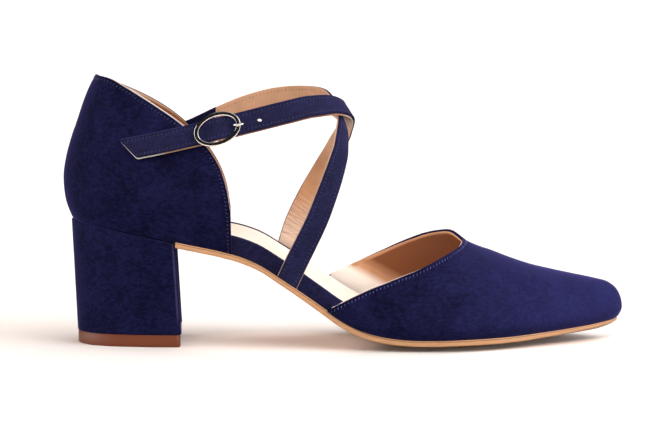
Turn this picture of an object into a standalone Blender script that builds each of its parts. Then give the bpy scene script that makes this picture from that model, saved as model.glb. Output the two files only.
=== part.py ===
"""Cross-strap court shoe for the right foot, on a block heel.

The toe points along +X, the outer side of the foot is -Y, and the shoe stands on z = 0.
A closed vamp and a closed heel counter leave the waist of the foot open, and a pair of
straps crosses over the instep and fastens with an oval buckle on the outer side.

Sizes and tables are in millimetres in the shoe's own frame, whose zero lies under the back
of the heel seat. Meshes are in metres, with the middle of the shoe's box over the origin.
"""

import math

import bmesh
import bpy
import numpy as np
from mathutils import Matrix, Vector

MM = 0.001
BOX_MIDDLE = (117.381, -1.068)
LATERAL = -1
MEDIAL = 1

# Driving sizes
HEEL_BACK = -0.7
TOE_TIP = 236.4
WALL = 1.8
GAP = 0.3
OUTSOLE_THICK = 3.0
OUTSOLE_EDGE_THICK = 2.2
OUTSOLE_TIP_THICK = 1.0
NARROW_TIP = 14.0
OUTSOLE_PROUD = 0.5
OUTSOLE_TAPER_FROM = 195.0
OUTSOLE_BACK_GAP = 0.9
OUTSOLE_BACK_FADE = 75.0
INSOLE_INSET = 2.4
SOLE_TURNS = np.linspace(0, math.pi, 44)
SOLE_COLUMNS = 11
HEEL_BREAST = 45.0
HEEL_BREAST_HOLLOW = 1.2
HEEL_BREAST_SKEW = 2.0
HEEL_CORNER = 2.5
HEEL_INSET = 0.2
HEEL_FOOT_SHIFT = 2.3
HEEL_FOOT_WIDTH_SHARE = 0.92
TAP_THICK = 5.2
TAP_INSET_SHARE = 0.99
COUNTER_MEDIAL_SHARE = 0.98
VAMP_BACK = 110.5
THROAT = 169.5
VAMP_BULGE = 2.9
VAMP_BULGE_HEIGHT = 6.5
STRAP_WIDTH = 9.8
TAIL_SLANT = 0.67
STRAP_THICK = 2.0
STRAP_END_SPREAD = 14.0
STRAP_FINE_SPAN = (-9.0, 13.0)
HOLE_RADIUS = 0.9
HOLE_REACH = 3.0
FREE_HOLE_FROM_BUCKLE = 18.4
BUCKLE_STATION = 63.6
BUCKLE_HALF_LENGTH = 9.75
BUCKLE_HALF_WIDTH = 6.35
WIRE_RADIUS = 0.65
RING_LIFT = 2.45
BAR_LIFT = -0.5
STRAP_RISE_AT_BAR = 2.65
STRAP_RISE_HALF_LENGTH = 7.0
PRONG_RADIUS = 0.55
PRONG_OVERHANG = 0.9
PRONG_PASSAGE_RADIUS = 0.9
PRONG_LOOP_RADIUS = 1.25
PRONG_LOOP_WIRE = 0.32
PRONG_ALONG = (0.0, 0.24, 0.48, 0.72, 0.86, 1.0)
PRONG_RISE = (0.0, 0.31, 0.62, 0.92, 1.0, 1.0)
TAB_THICK = 1.6
TAB_LIFT = -2.1
TAB_WIDTH = 7.6
TAB_LENGTH = 25.0
TAB_SLOT_WIDTH = 2.4
TAB_SLOT_LENGTH = 5.0
TAB_SLOT_DEPTH = 6.0
TAB_FOLD_LENGTH = 6.0
TAB_FOLD_TURN = (130.0, -110.0)

# Plan of the feather line, where the upper meets the sole
OUTLINE = (
    # station, centre, half_width
    (-0.7, 0.0, 0.0),
    (10.0, 0.0, 19.8),
    (25.0, -0.2, 24.6),
    (45.0, -0.6, 26.0),
    (70.0, -1.8, 26.0),
    (95.0, -3.0, 27.2),
    (120.0, -2.8, 32.0),
    (140.0, -2.2, 36.8),
    (155.0, -1.4, 39.0),
    (170.0, -0.2, 38.4),
    (185.0, 1.4, 34.8),
    (200.0, 3.0, 28.8),
    (215.0, 4.4, 21.6),
    (227.0, 5.2, 14.2),
    (236.4, 5.6, 0.0),
)

# Side profile of the top of the outsole: its edge, and how far its middle lies below the edge
BED = (
    # station, edge_height, middle_dip
    (-0.7, 54.6, 0.0),
    (25.0, 49.2, 0.0),
    (52.0, 43.8, 0.0),
    (65.0, 41.1, 0.0),
    (73.0, 38.9, 0.0),
    (82.0, 35.0, 0.1),
    (90.0, 29.8, 0.2),
    (99.0, 23.8, 0.4),
    (107.0, 18.2, 0.6),
    (115.7, 12.2, 1.0),
    (124.0, 8.1, 1.4),
    (132.6, 5.9, 1.8),
    (141.0, 4.9, 2.1),
    (155.0, 4.6, 2.1),
    (170.0, 4.9, 2.0),
    (188.0, 5.4, 1.6),
    (205.0, 6.5, 1.2),
    (224.0, 8.1, 0.8),
    (236.4, 9.5, 0.5),
)

# Thickness of the covered footbed at its outer edge, and how much thicker its arch side is
INSOLE = (
    # station, thickness, medial_rise
    (-0.7, 5.0, 0.0),
    (40.0, 5.6, 0.6),
    (60.0, 7.4, 1.4),
    (75.0, 8.2, 1.7),
    (90.0, 8.7, 1.8),
    (105.0, 8.9, 1.7),
    (117.0, 8.9, 1.2),
    (135.0, 7.0, 0.5),
    (160.0, 5.0, 0.0),
    (200.0, 3.6, 0.0),
    (236.4, 2.6, 0.0),
)

# Sections of the forefoot: ridge height over the feather line, ridge offset, squareness
FOREFOOT = (
    # station, ridge_height, ridge_offset, squareness
    (108.0, 86.0, 2.0, 2.2),
    (125.0, 75.0, 2.5, 2.2),
    (140.0, 64.5, 3.0, 2.15),
    (150.0, 56.5, 3.2, 2.1),
    (160.0, 48.2, 3.2, 2.1),
    (165.0, 43.9, 3.1, 2.1),
    (170.0, 39.0, 3.0, 2.1),
    (175.0, 36.4, 2.7, 2.12),
    (181.4, 34.0, 2.4, 2.15),
    (190.0, 30.3, 1.8, 2.2),
    (198.8, 26.8, 1.2, 2.3),
    (207.6, 24.0, 0.8, 2.4),
    (216.3, 21.4, 0.4, 2.5),
    (226.0, 18.4, 0.2, 2.6),
    (232.5, 15.4, 0.0, 2.7),
    (235.5, 10.4, 0.0, 2.7),
    (236.4, 0.0, 0.0, 2.7),
)

# Cut edge of the vamp behind the throat, as heights above the floor on each side of the foot
VAMP_TOPLINE = (
    # station, lateral_height, medial_height
    (110.5, 17.4, 25.4),
    (125.8, 25.3, 32.8),
    (137.4, 30.2, 38.2),
    (150.6, 35.5, 44.0),
    (160.0, 39.9, 46.8),
    (165.0, 42.2, 47.3),
)

# Lean of the counter: how far it stands out from the feather line at each height
COUNTER_LEAN = (
    # height, at_back, at_side
    (0.0, 0.0, 0.0),
    (6.0, 2.3, 1.6),
    (12.0, 3.3, 2.5),
    (18.0, 3.5, 2.8),
    (26.0, 2.3, 2.4),
    (34.0, 0.1, 1.4),
    (42.0, -2.7, 0.0),
    (51.0, -5.8, -1.8),
    (57.0, -8.4, -3.0),
    (62.0, -11.2, -4.0),
)

# Cut edge of the counter, as heights above the floor
COUNTER_TOPLINE = (
    # station, lateral_height, medial_height
    (-0.7, 116.2, 116.2),
    (5.0, 116.0, 115.2),
    (10.0, 115.8, 114.2),
    (16.0, 114.7, 112.8),
    (22.0, 111.9, 110.6),
    (29.0, 107.8, 107.6),
    (38.0, 102.1, 103.0),
    (49.5, 94.7, 95.3),
    (59.8, 85.3, 85.6),
    (63.6, 79.4, 79.5),
    (66.4, 72.9, 72.9),
    (68.5, 64.2, 64.2),
    (69.5, 56.0, 56.0),
)
COUNTER_STATIONS = (
    (-0.7, 0.8, 4.5, 9.5, 16.0, 23.5, 31.5, 39.5)
    + (47.5, 54.5, 60.0, 63.8, 66.6, 68.5, 69.5)
)

# Middle line of each strap, with the way that its suede side faces
BUCKLE_STRAP = (
    # x, y, z, out_x, out_y, out_z
    (25.6, -27.9, 84.9, -0.20, -0.96, 0.17),
    (40.0, -29.9, 87.9, -0.06, -0.98, 0.19),
    (52.0, -30.2, 90.6, 0.00, -0.98, 0.19),
    (64.1, -30.4, 93.5, 0.03, -0.98, 0.18),
    (78.0, -29.8, 97.0, 0.12, -0.97, 0.20),
    (92.0, -27.0, 100.4, 0.30, -0.92, 0.25),
    (103.8, -21.0, 102.8, 0.55, -0.75, 0.35),
    (112.3, -12.5, 102.3, 0.74, -0.48, 0.47),
    (117.5, -3.0, 98.5, 0.82, -0.12, 0.55),
    (117.7, 6.0, 92.3, 0.80, 0.28, 0.50),
    (114.4, 15.2, 83.6, 0.58, 0.70, 0.40),
    (109.0, 22.2, 72.6, 0.34, 0.89, 0.28),
    (102.8, 25.8, 60.0, 0.16, 0.97, 0.18),
    (97.4, 26.0, 49.4, 0.06, 0.99, 0.10),
    (93.2, 24.0, 39.0, 0.02, 1.00, 0.04),
    (89.6, 23.4, 30.6, 0.00, 1.00, 0.00),
)
INSTEP_STRAP = (
    # x, y, z, out_x, out_y, out_z
    (92.6, -29.2, 28.6, 0.00, -1.00, 0.00),
    (96.4, -29.9, 37.0, 0.00, -1.00, 0.05),
    (100.6, -30.2, 45.5, 0.06, -0.99, 0.10),
    (105.3, -29.6, 54.6, 0.18, -0.95, 0.20),
    (109.4, -27.2, 64.4, 0.38, -0.88, 0.26),
    (112.9, -22.8, 74.8, 0.60, -0.72, 0.32),
    (115.7, -16.4, 85.4, 0.78, -0.46, 0.41),
    (117.0, -9.0, 93.6, 0.82, -0.25, 0.51),
    (116.5, -0.6, 99.2, 0.82, 0.00, 0.57),
    (113.6, 8.4, 102.2, 0.72, 0.45, 0.52),
    (108.6, 16.0, 104.5, 0.52, 0.74, 0.42),
    (100.0, 22.4, 105.6, 0.30, 0.91, 0.27),
    (87.0, 26.6, 104.4, 0.12, 0.98, 0.16),
    (75.0, 27.6, 101.2, 0.04, 0.98, 0.16),
    (62.6, 27.3, 96.2, 0.00, 0.98, 0.18),
    (50.0, 26.6, 90.4, -0.02, 0.98, 0.19),
    (37.0, 27.4, 86.0, -0.08, 0.98, 0.18),
)

# Half of the buckle's bar, from the ring to the middle
BAR_DIP = (
    # across_share, lift
    (1.00, RING_LIFT),
    (0.98, 1.2),
    (0.93, 0.2),
    (0.84, BAR_LIFT),
    (0.40, BAR_LIFT),
    (0.00, BAR_LIFT),
)

NAVY_SUEDE = ("navy suede", (0.017, 0.016, 0.050), 0.95, 0.0)
SOLE_LEATHER = ("tan sole leather", (0.480, 0.250, 0.120), 0.55, 0.0)
TAP_RUBBER = ("brown heel rubber", (0.200, 0.060, 0.028), 0.50, 0.0)
SOCK_LEATHER = ("cream sock leather", (0.850, 0.720, 0.560), 0.60, 0.0)
POLISHED_METAL = ("polished metal", (0.800, 0.780, 0.740), 0.15, 1.0)


def hermite(knots, values, at):
    """A smooth curve through the values at the knots, read at the given places."""
    at = np.clip(np.asarray(at, float), knots[0], knots[-1])
    slopes = np.gradient(values, knots, axis=0)
    left = np.clip(np.searchsorted(knots, at, side="right") - 1, 0, len(knots) - 2)
    step = knots[left + 1] - knots[left]
    t = (at - knots[left]) / step
    if np.ndim(values) == 2:
        step, t = step[..., None], t[..., None]
    return (
        (2 * t**3 - 3 * t**2 + 1) * values[left]
        + (t**3 - 2 * t**2 + t) * step * slopes[left]
        + (3 * t**2 - 2 * t**3) * values[left + 1]
        + (t**3 - t**2) * step * slopes[left + 1]
    )


def turn_of(station):
    """The angle that sweeps a half circle from the heel back to the toe tip at this station."""
    share = (np.asarray(station, float) - HEEL_BACK) / (TOE_TIP - HEEL_BACK)
    return np.arccos(np.clip(1 - 2 * share, -1, 1))


def station_of(turn):
    return HEEL_BACK + (TOE_TIP - HEEL_BACK) / 2 * (1 - np.cos(turn))


def by_station(table, column, station):
    rows = np.array(table, float)
    return hermite(rows[:, 0], rows[:, column], station)


def by_turn(table, column, turn):
    """As by_station, but rounded off at the heel back and the toe tip."""
    rows = np.array(table, float)
    return hermite(turn_of(rows[:, 0]), rows[:, column], turn)


def outline(turn, side, inset=0.0):
    """Points of the feather line on one side of the foot, moved inwards, and their outward normals."""

    def edge(at):
        return station_of(at), by_turn(OUTLINE, 1, at) + side * by_turn(OUTLINE, 2, at)

    nudge = 1e-4
    low = np.clip(turn - nudge, 0, math.pi)
    high = np.clip(turn + nudge, 0, math.pi)
    along = np.subtract(edge(high), edge(low))
    along = along / np.hypot(*along)
    normal = side * np.array((-along[1], along[0]))
    x, y = np.array(edge(turn)) - inset * normal
    return x, y, normal[0], normal[1]


def bed_height(station, middle):
    """Height of the top of the outsole, middle being 0 at its edges and 1 along its middle line."""
    return by_station(BED, 1, station) - by_station(BED, 2, station) * middle


def sole_plan(turns, columns, inset):
    """A grid of plan points over the sole, with how near each is to the middle line and to the arch."""
    across = np.linspace(-1, 1, columns)[None, :]
    share = (across + 1) / 2
    lateral = outline(turns, LATERAL, inset)
    medial = outline(turns, MEDIAL, inset)
    x = lateral[0][:, None] * (1 - share) + medial[0][:, None] * share
    y = lateral[1][:, None] * (1 - share) + medial[1][:, None] * share
    half_width = (medial[1] - lateral[1])[:, None] / 2
    middle = (1 - across**2) * np.clip(half_width / NARROW_TIP, 0, 1)
    return x, y, middle, np.broadcast_to(share, x.shape)


def breast_shift(middle, arch):
    """How far the heel's front face lies behind its outer corner."""
    return HEEL_BREAST_HOLLOW * middle + HEEL_BREAST_SKEW * arch


def forefoot_point(station, side, angle):
    """The upper's outer surface: angle 0 is the feather line and a right angle is the ridge."""
    turn = turn_of(station)
    x, y_edge, out_x, out_y = outline(turn, side)
    other_out_x = outline(turn, -side)[2]
    z_edge = by_station(BED, 1, station) + GAP
    ridge_y = by_turn(OUTLINE, 1, turn) + by_turn(FOREFOOT, 2, turn)
    height = by_turn(FOREFOOT, 1, turn)
    power = 2 / by_turn(FOREFOOT, 3, turn)
    inwards = np.clip(np.cos(angle), 0, 1) ** power
    rise = height * np.sin(angle) ** power
    lean = rise / VAMP_BULGE_HEIGHT
    bulge = VAMP_BULGE * lean * np.exp(1 - lean)
    ahead = ((1 + inwards) * out_x + (1 - inwards) * other_out_x) / 2
    return np.stack(
        (
            x + bulge * ahead,
            ridge_y + (y_edge - ridge_y) * inwards + bulge * out_y * inwards,
            z_edge + rise,
        ),
        axis=-1,
    )


def vamp_cut_angle(station, side):
    """The angle of the vamp's cut edge at a station, which is the ridge from the throat on.

    Read against the root of the distance from the throat, so that the throat is round.
    """
    rows = np.array(VAMP_TOPLINE, float)[::-1]
    known = rows[:, 0]
    turn = turn_of(known)
    height = rows[:, 1 if side == LATERAL else 2]
    share = (height - by_station(BED, 1, known) - GAP) / by_turn(FOREFOOT, 1, turn)
    angle = np.arcsin(share ** (by_turn(FOREFOOT, 3, turn) / 2))
    knots = np.concatenate(((0.0,), np.sqrt(THROAT - known)))
    angles = np.concatenate(((math.pi / 2,), angle))
    return hermite(knots, angles, np.sqrt(np.clip(THROAT - station, 0, None)))


def vamp_grid(side, columns=10, back_rows=12, toe_rows=22):
    """One side of the vamp, from its back corner to the toe tip and from feather line to ridge."""
    behind = THROAT - np.linspace(math.sqrt(THROAT - VAMP_BACK), 0, back_rows)[:-1] ** 2
    first = turn_of(THROAT)
    ahead = station_of(first + (math.pi - first) * np.linspace(0, 1, toe_rows) ** 1.3)
    station = np.concatenate((behind, ahead))[:, None]
    angle = vamp_cut_angle(station, side) * np.linspace(0, 1, columns)[None, :]
    station = np.broadcast_to(station, angle.shape)
    return forefoot_point(station, side, angle)


def counter_point(station, side, height):
    """The counter's outer surface at a height above the feather line."""
    x, y, out_x, out_y = outline(turn_of(station), side)
    at_back = by_station(COUNTER_LEAN, 1, height)
    at_side = by_station(COUNTER_LEAN, 2, height)
    out = at_side + (at_back - at_side) * out_x**2
    z = by_station(BED, 1, station) + GAP + height
    return np.stack((x + out * out_x, y + out * out_y, z), axis=-1)


def counter_grid(rows=11):
    """The counter from its lateral front edge round the heel to its medial front edge."""
    stations = np.array(COUNTER_STATIONS)
    walls = []
    sides = ((LATERAL, stations[::-1], 1.0), (MEDIAL, stations[1:], COUNTER_MEDIAL_SHARE))
    for side, order, share in sides:
        station = order[:, None] * share
        top = by_station(COUNTER_TOPLINE, 1 if side == LATERAL else 2, order[:, None])
        full = top - by_station(BED, 1, station) - GAP
        height = full * np.linspace(0, 1, rows)[None, :]
        walls.append(counter_point(np.broadcast_to(station, height.shape), side, height))
    return np.concatenate(walls)


def unit(vectors):
    return vectors / np.linalg.norm(vectors, axis=-1, keepdims=True)


class Strap:
    """A strap's middle line, read by distance along it from its first row."""

    def __init__(self, table):
        rows = np.array(table, float)
        chords = np.linalg.norm(np.diff(rows[:, :3], axis=0), axis=1)
        self.knots = np.concatenate(((0.0,), np.cumsum(chords)))
        self.rows = rows
        self.length = self.knots[-1]

    def frame(self, at):
        """Middle points with the way along, the way across and the way out at each."""
        at = np.asarray(at, float)
        nudge = 0.05
        ahead = hermite(self.knots, self.rows[:, :3], at + nudge)
        behind = hermite(self.knots, self.rows[:, :3], at - nudge)
        along = unit(ahead - behind)
        out = hermite(self.knots, self.rows[:, 3:], at)
        out = unit(out - along * (out * along).sum(-1, keepdims=True))
        return hermite(self.knots, self.rows[:, :3], at), along, np.cross(along, out), out

    def at_station(self, x):
        """The distance of the first place at this station."""
        fine = np.linspace(0, self.length, 2000)
        return fine[np.argmax(hermite(self.knots, self.rows[:, 0], fine) >= x)]


BUCKLE_LINE = Strap(BUCKLE_STRAP)
INSTEP_LINE = Strap(INSTEP_STRAP)
BUCKLE_AT = BUCKLE_LINE.at_station(BUCKLE_STATION)


def rise_over_bar(at):
    """How far the buckle strap lifts to pass over the bar."""
    share = np.clip(np.abs(at - BUCKLE_AT) / STRAP_RISE_HALF_LENGTH, 0, 1)
    return STRAP_RISE_AT_BAR * np.cos(share * math.pi / 2) ** 2


def ribbon_grid(line, at, lift, end_slopes, columns=4):
    """A strip along a strap's line. Ends that meet the sole run along the feather line there."""
    middle, along, across, out = line.frame(at)
    middle = middle + out * np.asarray(lift)[:, None]
    for place, slope in end_slopes:
        share = np.clip(1 - np.abs(at - place) / STRAP_END_SPREAD, 0, 1)[:, None]
        level = slope / np.dot(slope, across[np.argmin(np.abs(at - place))])
        across = across * (1 - share) + level * share
    places = np.linspace(-STRAP_WIDTH / 2, STRAP_WIDTH / 2, columns)
    return middle[:, None, :] + across[:, None, :] * places[None, :, None]


def feather_slope(station, side):
    """The way that the feather line runs at a station."""
    ends = []
    for x in (station - 1, station + 1):
        turn = turn_of(x)
        ends.append((x, outline(turn, side)[1], by_station(BED, 1, x)))
    return unit(np.subtract(ends[1], ends[0]))


def to_scene(points):
    """Points of the shoe's frame in metres, round the middle of its box."""
    return (np.asarray(points, float) - (*BOX_MIDDLE, 0.0)) * MM


def material_of(finish):
    name, colour, roughness, metallic = finish
    found = bpy.data.materials.get(name)
    if found:
        return found
    made = bpy.data.materials.new(name)
    made.use_nodes = True
    shader = made.node_tree.nodes["Principled BSDF"]
    shader.inputs["Base Color"].default_value = (*colour, 1.0)
    shader.inputs["Roughness"].default_value = roughness
    shader.inputs["Metallic"].default_value = metallic
    return made


def add_object(name, mesh_builder, finish, helper=False):
    """A named object from a bmesh, smooth where its faces meet gently."""
    mesh = bpy.data.meshes.new(name)
    bmesh.ops.remove_doubles(mesh_builder, verts=mesh_builder.verts, dist=1e-7)
    bmesh.ops.recalc_face_normals(mesh_builder, faces=mesh_builder.faces)
    mesh_builder.to_mesh(mesh)
    mesh_builder.free()
    mesh.materials.append(material_of(finish))
    mesh.shade_smooth()
    mesh.set_sharp_from_angle(angle=math.radians(40))
    made = bpy.data.objects.new(name, mesh)
    bpy.context.scene.collection.objects.link(made)
    if helper:
        made.hide_render = True
        made.display_type = "WIRE"
    return made


def add_faces(builder, grid, flip=False):
    """The quads of a grid of points. Rows that shrink to a point give triangles."""
    points = to_scene(grid)
    verts = [[builder.verts.new(p) for p in row] for row in points]
    for i in range(len(verts) - 1):
        for j in range(len(verts[0]) - 1):
            corners = [verts[i][j], verts[i + 1][j], verts[i + 1][j + 1], verts[i][j + 1]]
            builder.faces.new(corners[::-1] if flip else corners)
    return verts


def slab(name, top, bottom, finish):
    """A closed solid between two grids that have the same rows and columns."""
    builder = bmesh.new()
    upper = add_faces(builder, top)
    lower = add_faces(builder, bottom, flip=True)

    def border(grid):
        first, last = grid[0], grid[-1]
        left = [row[0] for row in grid]
        right = [row[-1] for row in grid]
        return first[:-1] + right[:-1] + last[:0:-1] + left[:0:-1]

    rim_upper = border(upper)
    rim_lower = border(lower)
    for k, vert in enumerate(rim_upper):
        after = (k + 1) % len(rim_upper)
        builder.faces.new((vert, rim_upper[after], rim_lower[after], rim_lower[k]))
    bmesh.ops.remove_doubles(builder, verts=builder.verts, dist=2e-6)
    bmesh.ops.dissolve_degenerate(builder, edges=builder.edges, dist=2e-6)
    return add_object(name, builder, finish)


def sheet(name, grids, finish, thickness, offset, helper=False):
    """A wall of even thickness on one or more grids that share an edge."""
    builder = bmesh.new()
    for grid, flip in grids:
        add_faces(builder, grid, flip)
    bmesh.ops.remove_doubles(builder, verts=builder.verts, dist=2e-6)
    bmesh.ops.dissolve_degenerate(builder, edges=builder.edges, dist=2e-6)
    made = add_object(name, builder, finish, helper)
    wall = made.modifiers.new("wall", "SOLIDIFY")
    wall.thickness = thickness * MM
    wall.offset = offset
    wall.use_even_offset = True
    return made


def tube(builder, path, radius, sides, closed=False):
    """A round wire along points of the shoe's frame."""
    path = np.asarray(path, float)
    if closed:
        along = np.roll(path, -1, axis=0) - np.roll(path, 1, axis=0)
    else:
        along = np.gradient(path, axis=0)
    along = unit(along)
    guide = np.cross(along[0], (0.31, 0.77, 0.55))
    rings = []
    for point, ahead in zip(path, along):
        guide = unit(guide - ahead * np.dot(guide, ahead))
        other = np.cross(ahead, guide)
        turns = np.linspace(0, 2 * math.pi, sides, endpoint=False)
        circle = [point + radius * (math.cos(a) * guide + math.sin(a) * other) for a in turns]
        rings.append([builder.verts.new(p) for p in to_scene(circle)])
    pairs = list(zip(rings, rings[1:]))
    if closed:
        pairs.append((rings[-1], nearest_turn(rings[0], rings[-1])))
    for ring, after in pairs:
        for k in range(sides):
            n = (k + 1) % sides
            builder.faces.new((ring[k], ring[n], after[n], after[k]))
    if not closed:
        builder.faces.new(rings[0][::-1])
        builder.faces.new(rings[-1])


def nearest_turn(ring, other):
    """A ring's points started where it lines up best with another ring."""
    best = min(range(len(ring)), key=lambda k: (ring[k].co - other[0].co).length)
    return ring[best:] + ring[:best]


def boolean(target, other, operation):
    step = target.modifiers.new(operation.lower(), "BOOLEAN")
    step.operation = operation
    step.solver = "EXACT"
    step.object = other


def make_outsole():
    first = turn_of(HEEL_BREAST + OUTSOLE_BACK_GAP)
    ahead = [turn for turn in SOLE_TURNS if turn > first + SOLE_TURNS[1] / 2]
    turns = np.array([first, *ahead])
    x, y, middle, arch = sole_plan(turns, SOLE_COLUMNS, -OUTSOLE_PROUD)
    near_heel = np.clip((OUTSOLE_BACK_FADE - x) / (OUTSOLE_BACK_FADE - HEEL_BREAST), 0, 1) ** 2
    x = x - breast_shift(middle, arch) * near_heel
    top = bed_height(x, middle)
    edge_thick = np.interp(x, (OUTSOLE_TAPER_FROM, TOE_TIP), (OUTSOLE_EDGE_THICK, OUTSOLE_TIP_THICK))
    thick = edge_thick + (OUTSOLE_THICK - edge_thick) * middle
    bottom = np.maximum(top - thick, 0.0)
    slab("outsole", np.stack((x, y, top), -1), np.stack((x, y, bottom), -1), SOLE_LEATHER)


def make_insole():
    x, y, middle, arch = sole_plan(SOLE_TURNS, SOLE_COLUMNS, INSOLE_INSET)
    bottom = bed_height(x, middle) + GAP
    top = bottom + by_station(INSOLE, 1, x) + by_station(INSOLE, 2, x) * arch**2
    slab("insole", np.stack((x, y, top), -1), np.stack((x, y, bottom), -1), SOCK_LEATHER)


def heel_plan(foot_share):
    """The heel's plan, at its seat for 0 and at its foot for 1, with the hollow of its breast."""
    corner = HEEL_BREAST - HEEL_CORNER * (1 - np.sin(np.radians((0, 25, 50, 75, 90))))
    turns = np.concatenate((np.linspace(0, turn_of(corner[0]), 11)[:-1], turn_of(corner)))
    x, y, middle, arch = sole_plan(turns, SOLE_COLUMNS, HEEL_INSET)
    into_corner = np.clip(x - HEEL_BREAST + HEEL_CORNER, 0, HEEL_CORNER)
    cut = HEEL_CORNER - np.sqrt(HEEL_CORNER**2 - into_corner**2)
    y = y - cut * (2 * arch - 1)
    x = x - breast_shift(middle, arch) * np.clip(x / HEEL_BREAST, 0, 1) ** 4
    seat = bed_height(x, middle) - GAP
    y = y * (1 + foot_share * (HEEL_FOOT_WIDTH_SHARE - 1))
    return x + foot_share * HEEL_FOOT_SHIFT, y, seat


def make_heel():
    x, y, seat = heel_plan(0.0)
    foot_x, foot_y, _ = heel_plan(1.0)
    foot_z = np.full_like(foot_x, TAP_THICK + GAP)
    slab("heel", np.stack((x, y, seat), -1), np.stack((foot_x, foot_y, foot_z), -1), NAVY_SUEDE)
    middle = foot_x.mean()
    tap_x = middle + (foot_x - middle) * TAP_INSET_SHARE
    tap_y = foot_y * TAP_INSET_SHARE
    top = np.stack((tap_x, tap_y, np.full_like(tap_x, TAP_THICK)), -1)
    bottom = np.stack((tap_x, tap_y, np.zeros_like(tap_x)), -1)
    slab("heel_tap", top, bottom, TAP_RUBBER)


def make_upper():
    halves = [(vamp_grid(LATERAL), False), (vamp_grid(MEDIAL), True)]
    sheet("vamp", halves, NAVY_SUEDE, WALL, -1.0)
    sheet("counter", [(counter_grid(), False)], NAVY_SUEDE, WALL, -1.0)


def buckle_frame_axes():
    """The buckle's middle on the strap, and the ways along, across and out there."""
    middle, along, across, out = BUCKLE_LINE.frame(np.array([BUCKLE_AT]))
    return middle[0], along[0], across[0], out[0]


def at_buckle(along_mm, across_mm, out_mm):
    middle, along, across, out = buckle_frame_axes()
    parts = np.stack(np.broadcast_arrays(along_mm, across_mm, out_mm), -1)
    return middle + parts @ np.stack((along, across, out))


def under_strap(along_mm, across_mm, lift_mm):
    """As at_buckle, but bending with the strap."""
    middle, _, across, out = BUCKLE_LINE.frame(BUCKLE_AT + np.asarray(along_mm, float))
    return middle + across * across_mm + out * np.asarray(lift_mm, float)[:, None]


def prong_path():
    """The prong rises straight from the bar through the strap and bends over the ring's front end."""
    over_ring = RING_LIFT + WIRE_RADIUS + GAP + PRONG_RADIUS
    reach = BUCKLE_HALF_LENGTH + PRONG_OVERHANG - PRONG_LOOP_RADIUS
    along = PRONG_LOOP_RADIUS + reach * np.array(PRONG_ALONG)
    lift = BAR_LIFT + (over_ring - BAR_LIFT) * np.array(PRONG_RISE)
    return at_buckle(along, 0.0, lift)


def add_cutter(name, path, radius):
    builder = bmesh.new()
    tube(builder, path, radius, 12)
    return add_object(name, builder, NAVY_SUEDE, helper=True)


def make_straps():
    fine = BUCKLE_AT + np.linspace(*STRAP_FINE_SPAN, 23)
    before = np.linspace(0, fine[0], 7)[:-1]
    after = np.linspace(fine[-1], BUCKLE_LINE.length, 36)[1:]
    at = np.concatenate((before, fine, after))
    _, along, across, _ = BUCKLE_LINE.frame(np.array([0.0]))
    tail_end = (0.0, across[0] + TAIL_SLANT * along[0])
    ends = [tail_end, (BUCKLE_LINE.length, feather_slope(BUCKLE_STRAP[-1][0], MEDIAL))]
    grid = ribbon_grid(BUCKLE_LINE, at, rise_over_bar(at), ends)
    straps = sheet("cross_straps", [(grid, False)], NAVY_SUEDE, STRAP_THICK, 0.0)

    at = np.linspace(0, INSTEP_LINE.length, 46)
    ends = [(0.0, feather_slope(INSTEP_STRAP[0][0], LATERAL))]
    grid = ribbon_grid(INSTEP_LINE, at, np.zeros_like(at), ends)
    under = sheet("instep_strap", [(grid, False)], NAVY_SUEDE, STRAP_THICK, 0.0, helper=True)
    boolean(straps, under, "UNION")

    path = prong_path()
    passage = add_cutter("prong_passage", path[:4], PRONG_PASSAGE_RADIUS)
    boolean(straps, passage, "DIFFERENCE")
    middle, _, _, out = BUCKLE_LINE.frame(np.array([BUCKLE_AT + FREE_HOLE_FROM_BUCKLE]))
    reach = HOLE_REACH * out[0]
    punch = add_cutter("free_hole", (middle[0] - reach, middle[0] + reach), HOLE_RADIUS)
    boolean(straps, punch, "DIFFERENCE")


def make_buckle():
    turns = np.linspace(0, 2 * math.pi, 32, endpoint=False)
    ring = at_buckle(BUCKLE_HALF_LENGTH * np.cos(turns), BUCKLE_HALF_WIDTH * np.sin(turns), RING_LIFT)
    builder = bmesh.new()
    tube(builder, ring, WIRE_RADIUS, 8, closed=True)
    frame = add_object("buckle_frame", builder, POLISHED_METAL)

    # The bar dips below the ring, so that the strap can pass over it
    dip = np.array(BAR_DIP)
    across = np.concatenate((dip[:, 0], -dip[-2::-1, 0])) * BUCKLE_HALF_WIDTH
    lift = np.concatenate((dip[:, 1], dip[-2::-1, 1]))
    builder = bmesh.new()
    tube(builder, at_buckle(0.0, across, lift), WIRE_RADIUS, 8)
    bar = add_object("buckle_bar", builder, POLISHED_METAL, helper=True)
    boolean(frame, bar, "UNION")

    builder = bmesh.new()
    tube(builder, prong_path(), PRONG_RADIUS, 8)
    prong = add_object("buckle_prong", builder, POLISHED_METAL)
    turns = np.linspace(0, 2 * math.pi, 16, endpoint=False)
    loop = at_buckle(PRONG_LOOP_RADIUS * np.cos(turns), 0.0, BAR_LIFT + PRONG_LOOP_RADIUS * np.sin(turns))
    builder = bmesh.new()
    tube(builder, loop, PRONG_LOOP_WIRE, 6, closed=True)
    eye = add_object("prong_loop", builder, POLISHED_METAL, helper=True)
    boolean(prong, eye, "UNION")


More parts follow.
